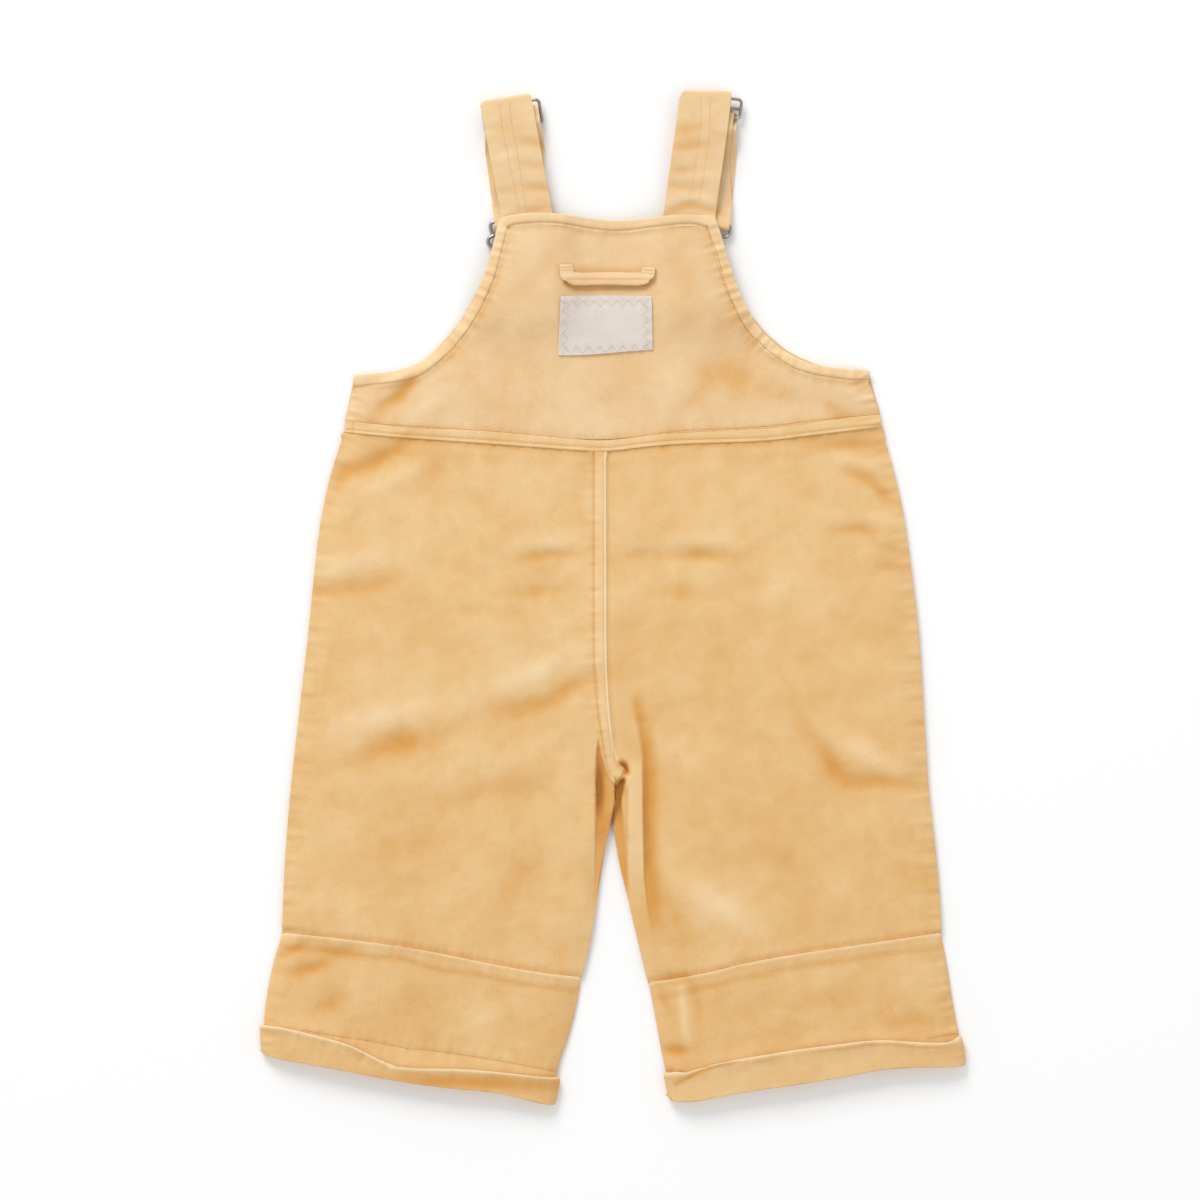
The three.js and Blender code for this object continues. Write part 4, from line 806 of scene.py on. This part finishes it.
def turnup_shape(x, y, z):
    base, tone = relief(x, y)
    high, tone = 0 * x, 0.5 * tone
    for row in (LIP_LEFT, LIP_RIGHT):
        up, inside = height_over(row, x, y)
        down = np.maximum(-up, 0)
        proud = 0.7 + 0.45 * waves(x, 0 * y, 34, 12)
        high += inside * (proud * np.exp(-((down / 3.2) ** 2)) + gathers(row, x, y, 9, 0.35, 1.1))
        # Painted highlight on the lip, and painted shade as the turn-up's face turns down below it
        tone += inside * (0.5 * ease(down / 2.5) - 0.75 * np.exp(-((down / 0.9) ** 2)) - 0.25)
        outer = ease((x - 100) / 25) * ease((192 - x) / 10)
        # A painted shadow line just under the right lip's outer part
        tone += inside * 0.5 * np.exp(-(((down - 2.3) / 0.8) ** 2)) * outer
    crease = dip(LIP_CREASE, x, y, 1.3)
    high -= 0.5 * crease
    # Painted shade in the crease
    tone += 0.8 * crease * ease((74 - x) / 20)
    # Painted shade on the left turn-up's face below its lip
    shaded = np.exp(-(((x + 80) / 52) ** 2) - ((y + 270.5 + (x + 78) * 0.05) / 4) ** 2)
    return raised(z, base + high * ease((z - 4) / 1.5)), tone - 0.25 + 0.95 * shaded - 0.1 * (x > 0)


def turnup_plan(x, y, z):
    """The corners are rounded, and the ends of the right lip are pulled up."""
    if x.mean() < 0:
        return rounded(x, y, -9, (2.2, 2.4, 3.4, 3.4))
    rise = np.interp(x, *INNER_RISE) * np.clip((y + 281) / 8, 0, 1)
    rise += np.interp(x, *OUTER_RISE) * np.clip((y + 260) / 8, 0, 1)
    rise += 1.7 * np.exp(-(((x - 158) / 26) ** 2)) * np.clip((-256 - y) / 7, 0, 1)
    slope = 2.0 * ease((x - 182) / 12) * np.clip((y + 262) / 12, 0, 1)
    return rounded(x - slope, y + rise, 8, (2.2, 1.0, 0.0, 3.4))


for node, area in (("turnup_left", 0.0060), ("turnup_right", 0.0066)):
    wall = fine_wall(node, 1.7, 8, 0.45)
    laid(piece_from(wall, node, twill, turnup_shape, turnup_plan), node)

# --- Straps -----------------------------------------------------------------
# Double-folded twill straps with rows of stitches. Each is sewn behind the back bib, folds over its
# slider's top, threads the slider, wraps the buckle and comes back round the slider's bar.

# Crumples of the straps: middle x and y, direction in degrees, half length, half width, height, in mm
CRUMPLES = [
    (-44, 254, -12, 10, 2.6, -0.6), (-42, 241, -8, 11, 3.0, -0.5),
    (-60, 246, 4, 10, 3.4, 0.35), (-40, 229, -4, 9, 2.6, -0.7),
    (-58, 228, 8, 12, 3.4, -0.35), (-43, 217, 4, 12, 2.4, -0.5),
    (-62, 262, 2, 12, 3.0, -0.3), (44, 262, 16, 11, 2.8, -0.5),
    (42, 252, 4, 11, 2.6, -0.55), (60, 258, -8, 8, 3.0, -0.35),
    (40, 239, 2, 10, 2.4, -0.55), (38, 230, -4, 10, 2.4, -0.5),
    (56, 236, 6, 10, 3.0, 0.35), (40, 219, 24, 10, 2.4, -0.7),
    (52, 217, -14, 10, 2.2, -0.8), (46, 223, 4, 12, 2.2, 0.5),
]


def strap_shape(x, y, z):
    slight = 0.14 * waves(x, y, 21, 14) + 0.08 * waves(x, y, 9, 15)
    crumples = creased(CRUMPLES, x, y)
    # Painted shade in the hollows of crumples and waves, painted highlight on their ridges
    tone = -0.3 * slight - 0.95 * crumples - 0.25 + 0.1 * (x > 0)
    return z + np.maximum(slight + crumples + 0.5, 0) * ease((z - 1.2) / 3.5), tone


# Ends of each strap's fold as made and as shown, in mm
FOLDS = {
    "left": [(-74.6, 277.5), (-46, 282.2), (-74.6, 277.3), (-46, 282.2)],
    "right": [(37.6, 285.9), (66.3, 282.2), (37.6, 283.7), (66.3, 283.3)],
}


def strap_plan(x, y, z):
    """The fold's corners are rounded, and the front of the right strap starts below its slider."""
    (x0, y0), (x1, y1), (_, new0), (_, new1) = FOLDS["left" if x.mean() < 0 else "right"]
    share = np.clip((x - x0) / (x1 - x0), 0, 1)
    short = np.maximum(2.7 - np.clip(np.minimum(x - x0, x1 - x), 0, None), 0)
    top = y0 + share * (y1 - y0)
    drop = top - (new0 + share * (new1 - new0)) + 2.7 - np.sqrt(2.7**2 - short**2)
    y = y - drop * ease((y - top + 8) / 8)
    over = np.maximum(x - 65.8 + (281 - y) * 0.0714, 0) * (x > 0)
    return x - 0.95 * over * ease((y - 273 + 0.79 * (x - 65.8)) / 1.6), y


def strap(node):
    """The CAD strap, made of even strips across and divided along and across."""
    wall = bmesh.new()
    wall.from_mesh(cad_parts[node].data)
    bmesh.ops.remove_doubles(wall, verts=wall.verts, dist=3e-6)
    bmesh.ops.join_triangles(wall, faces=wall.faces, angle_face_threshold=0.5, angle_shape_threshold=3.14)
    for _ in range(5):
        wide = [e for e in wall.edges if e.calc_length() > 1.6 * MM]
        if not wide:
            break
        bmesh.ops.subdivide_edges(wall, edges=wide, cuts=1, use_grid_fill=True)
    sharp = [e for e in wall.edges if e.calc_face_angle(0) > 0.9]
    bmesh.ops.bevel(wall, geom=sharp, offset=0.0004, segments=3, profile=0.5, affect="EDGES")
    return wall


straps = []
for node, long in (("strap_left", 0.225), ("strap_right", 0.232)):
    straps.append(piece_from(strap(node), node, twill_pale, strap_shape, strap_plan))
    laid(straps[-1], node)
# Rows on the back of the straps, as plan points in mm
STRAP_ROWS = [
    [(-63.6, 274.5), (-62, 262), (-57.6, 240), (-52.9, 219)],
    [(-58, 276), (-56.6, 264), (-52.6, 242), (-48.4, 216)],
    [(49, 279), (48.4, 262), (45.6, 240), (42.3, 224)],
    [(54, 279), (53.6, 262), (51, 240), (47.9, 224)],
    [(64.7, 271), (62.2, 250), (59.4, 232), (56.8, 219)],
    [(-73, 268), (-69.4, 248), (-65.6, 228), (-63.4, 218)],
]
sewn("stitches_straps", [smooth_line(row) for row in STRAP_ROWS], straps, thick=0.34)

# --- Hanger loop ------------------------------------------------------------
# A strip of folded twill tape whose ends turn up and are tacked to the bib.


def loop_shape(x, y, z):
    height, tone = bib_shape(x, y, z)
    belly = 0.6 * np.exp(-(((y - 178.4) / 2.8) ** 2)) - 0.25 * np.exp(-(((y - 177.4) / 0.8) ** 2))
    strip = (np.abs(x + 3.5) < 23) * np.clip((183 - y) / 1.5, 0, 1)
    # Painted shade along the loop's lower edge and in its middle groove
    tone += 0.55 * strip * np.exp(-(((y - 174.2) / 1.6) ** 2))
    tone += 0.3 * strip * np.exp(-(((y - 178.2) / 0.7) ** 2))
    return height + belly, tone - 0.2


def loop_plan(x, y, z):
    """The lower corners are well rounded."""
    return rounded(x, y, 0, (1.0, 1.0, 4.3, 4.5))


loop = piece_from(fine_wall("hanger_loop", 1.0, 12, 0.5), "hanger_loop", twill_pale, loop_shape, loop_plan)
laid(loop, "hanger_loop")
TACKS = [[(-29, 184.4), (-23.6, 184.8)], [(-29, 182.8), (-23.6, 183)], [(17, 183), (22.4, 182.6)]]
TACKS += [[(17, 181.4), (22.4, 181)]]
sewn("stitches_loop", TACKS, [loop, bib], pitch=0.9, length=0.9, thick=0.34)

# --- Label ------------------------------------------------------------------
# A plain cream cotton patch, sewn down with a zigzag all round. It is left bare.

label_colours = (0.725, 0.65, 0.58), (0.59, 0.50, 0.41), (0.81, 0.75, 0.69)
label_cloth = cloth_material("label_cloth", *label_colours, rib=0.8, turn=0, rib_depth=0.5)
# Its corners, and the length of a tooth of the zigzag, in mm
TOOTH = 6.5
LABEL = [(-29.3, 166.8), (20.6, 167.4), (21.4, 137.2), (-30, 135.4)]


def label_shape(x, y, z):
    height, _ = bib_shape(x, y, z)
    near, way = nearest_on(LABEL + LABEL[:1], x, y)
    pull = np.exp(-(((near - 2) / 2.4) ** 2))
    height += pull * (0.16 * np.sin(way * math.tau / TOOTH) - 0.28)
    # Painted shade where the zigzag pulls the patch down near its edge, uneven along it
    return height, 0.3 * pull * (0.5 + 0.5 * np.sin(way)) - 0.1


label = piece_from(fine_wall("label", 1.3, 22, 0.15), "label", label_cloth, label_shape)
laid(label, "label")
cream_colours = (0.70, 0.56, 0.38), (0.6, 0.45, 0.28), (0.78, 0.66, 0.48)
cream = cloth_material("cream_thread", *cream_colours, rib=0.5, turn=25)
zigzag = []
for (ax, ay), (bx, by) in zip(LABEL, LABEL[1:] + LABEL[:1]):
    size = math.hypot(bx - ax, by - ay)
    teeth = 2 * round(size / TOOTH)
    for i in range(teeth):
        inward = 4.6 if i % 2 else 0.9
        x, y = ax + (bx - ax) * i / teeth, ay + (by - ay) * i / teeth
        zigzag.append((x + (by - ay) / size * inward, y - (bx - ax) / size * inward))
zigzag.append(zigzag[0])
sewn("stitches_label", [zigzag], [label, bib], pitch=1.6, length=1.5, thick=0.32, sink=0.0, yarn=cream)

# --- Wire sliders and buckles -----------------------------------------------
# Bent steel wire with a dull nickel finish: sliders with a middle bar, and keyhole buckles.

metal = bpy.data.materials.new("wire")
metal.use_nodes = True
shiny = metal.node_tree.nodes["Principled BSDF"]
shiny.inputs["Metallic"].default_value = 1
shiny.inputs["Base Color"].default_value = (0.40, 0.37, 0.33, 1)
place = metal.node_tree.nodes.new("ShaderNodeTexCoord")
grain = metal.node_tree.nodes.new("ShaderNodeTexNoise")
grain.inputs["Scale"].default_value = 700
metal.node_tree.links.new(place.outputs["Object"], grain.inputs["Vector"])
dull = metal.node_tree.nodes.new("ShaderNodeMapRange")
dull.inputs["To Min"].default_value = 0.2
dull.inputs["To Max"].default_value = 0.4
metal.node_tree.links.new(grain.outputs["Fac"], dull.inputs["Value"])
metal.node_tree.links.new(dull.outputs["Result"], shiny.inputs["Roughness"])
# Places of the sliders: x, y and tilt, and the sideways shift of the buckle, in mm and degrees
PLACES = {"left": (-57.4, 271.3, 9.3, -4.3), "right": (53.8, 271.0, -7.3, 4.5)}
# The buckles' bars lie this far below the sliders' middles, and their wire runs on from there, in mm
BAR = 61.5
KEYHOLE = [(-13, -7.2), (-16.4, -8.6), (-17.2, -11.6), (-15.2, -14.6), (-9, -18), (-5, -21), (-4, -24.2)]
KEYHOLE += [(-5, -28), (-3, -31.6), (0, -33)]


def placed(side, p, q):
    """A plan point in mm from its place in the strap's own frame."""
    x, y, tilt, _ = PLACES[side]
    c, s = math.cos(math.radians(tilt)), math.sin(math.radians(tilt))
    return x + p * c - q * s, y + p * s + q * c


def add_wire(body, line, radius, height, closed, sides=16):
    """Adds round wire along a plan line in mm."""
    count = len(line)
    rings = []
    for i, at in enumerate(line):
        before = line[(i - 1) % count] if closed else line[max(i - 1, 0)]
        after = line[(i + 1) % count] if closed else line[min(i + 1, count - 1)]
        run = (after[0] - before[0], after[1] - before[1])
        side = (-run[1] / math.hypot(*run), run[0] / math.hypot(*run))
        turns = [math.tau * k / sides for k in range(sides)]
        ring = [(radius * math.cos(t), radius * math.sin(t)) for t in turns]
        ring = [Vector((at[0] + side[0] * out, at[1] + side[1] * out, height + up)) for out, up in ring]
        rings.append([body.verts.new(p * MM) for p in ring])
    for i in range(count if closed else count - 1):
        here, there = rings[i], rings[(i + 1) % count]
        for k in range(sides):
            body.faces.new((here[k], there[k], there[(k + 1) % sides], here[(k + 1) % sides]))
    if not closed:
        body.faces.new(rings[0])
        body.faces.new(rings[-1][::-1])
    bmesh.ops.recalc_face_normals(body, faces=body.faces)


def oblong(half_wide, half_long, corner):
    """The plan line of a rounded oblong of wire, in mm."""
    line = []
    for side_x, side_y, start in ((1, 1, 0), (-1, 1, 90), (-1, -1, 180), (1, -1, 270)):
        for turn in (math.radians(start + 15 * k) for k in range(7)):
            x = side_x * (half_wide - corner) + corner * math.cos(turn)
            line.append((x, side_y * (half_long - corner) + corner * math.sin(turn)))
    return line


def metal_piece(body, name):
    piece = piece_from(body, name, metal)
    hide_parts(name)
    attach(piece, "root")


# Half width and half length of each slider, how far it has slipped in its fold, in mm, and the width of
# each keyhole to its drawn one
SLIDERS = {"left": (16.0, 6.9), "right": (16.6, 5.3)}
SLIPS = {"left": (0.9, -1.7), "right": (0.9, 4.4)}
KEYHOLE_WIDTHS = {"left": 1.16, "right": 0.74}
# How far the wide ends of the buckles lean from their made places
LEANS = {"left": (0.0, 3.0), "right": (-2.2, 1.4)}
for side in PLACES:
    low, width = PLACES[side][3], KEYHOLE_WIDTHS[side]

    def slipped(p, q):
        x, y = placed(side, p, q)
        return x + SLIPS[side][0], y + SLIPS[side][1]

    body = bmesh.new()
    half, long = SLIDERS[side]
    add_wire(body, [slipped(*at) for at in oblong(half, long, 2.2)], 0.88, 3.9, True)
    add_wire(body, [slipped(p, 0) for p in (-half, 0, half)], 0.88, 3.9, False)
    metal_piece(body, f"slider_{side}")
    def leaned(p, q):
        share = min(max((q + 26) / 10, 0), 1)
        return placed(side, p + low + LEANS[side][0] * share, q - BAR + LEANS[side][1] * share)

    body = bmesh.new()
    add_wire(body, [leaned(p, q - 3.6) for p, q in oblong(17.3, 3.6, 2.4)], 0.98, 2.5, True)
    hook = smooth_line(KEYHOLE + [(-p, q) for p, q in KEYHOLE[-2::-1]], 4)
    add_wire(body, [leaned(p * width, q) for p, q in hook], 0.98, 2.5, False)
    metal_piece(body, f"buckle_{side}")

# --- Bib buttons ------------------------------------------------------------
# Turned metal shank buttons on the front bib, which the buckles hook over.

BUTTON = [(0, 0.02), (6.6, 0.02), (7.6, 0.05), (8.3, 0.3), (8.5, 0.7), (8.2, 1.05), (7.6, 1.18), (3, 1.2)]
BUTTON += [(2.6, 1.5), (2.6, 3.3), (0, 3.35)]
for side in PLACES:
    x, y = placed(side, PLACES[side][3], -BAR - 27.5)
    body = bmesh.new()
    rings = []
    for radius, height in BUTTON:
        turns = [math.tau * k / 48 for k in range(48 if radius else 1)]
        ring = [Vector((x + radius * math.cos(t), y + radius * math.sin(t), height)) * MM for t in turns]
        rings.append([body.verts.new(p) for p in ring])
    for one, two in zip(rings[:-1], rings[1:]):
        for k in range(48):
            corners = [one[k % len(one)], one[(k + 1) % len(one)], two[(k + 1) % len(two)], two[k % len(two)]]
            body.faces.new(list(dict.fromkeys(corners)))
    bmesh.ops.recalc_face_normals(body, faces=body.faces)
    metal_piece(body, f"button_{side}")

# --- Floor, light and camera ------------------------------------------------
# The garment lies on a plain pale surface in soft light from the neck end, seen from straight above.

bpy.ops.mesh.primitive_plane_add(size=60, location=(0, 0, -0.0002))
floor = bpy.context.object
floor.name = "floor"
paper = bpy.data.materials.new("paper")
paper.use_nodes = True
paper.node_tree.nodes["Principled BSDF"].inputs["Base Color"].default_value = (0.96, 0.96, 0.96, 1)
paper.node_tree.nodes["Principled BSDF"].inputs["Roughness"].default_value = 0.95
floor.data.materials.append(paper)

bpy.context.scene.view_settings.view_transform = "Standard"
world = bpy.data.worlds.new("room")
bpy.context.scene.world = world
world.use_nodes = True
world.node_tree.nodes["Background"].inputs["Color"].default_value = (1, 1, 1, 1)
world.node_tree.nodes["Background"].inputs["Strength"].default_value = 0.72


def soft_light(name, place, size, power):
    data = bpy.data.lights.new(name, "AREA")
    data.size = size
    data.energy = power
    light = bpy.data.objects.new(name, data)
    light.location = place
    light.rotation_euler = (-Vector(place)).to_track_quat("-Z", "Y").to_euler()
    bpy.context.scene.collection.objects.link(light)


soft_light("key", (-1.6, 3.8, 2.6), 2.2, 140)
soft_light("fill", (2.4, -2.0, 3.4), 3.0, 14)

lens = bpy.data.cameras.new("camera")
lens.sensor_width = 36
lens.lens = 36 * 3 / 0.672
camera = bpy.data.objects.new("camera", lens)
camera.location = (-0.00756, -0.00112, 3.0)
bpy.context.scene.collection.objects.link(camera)
bpy.context.scene.camera = camera
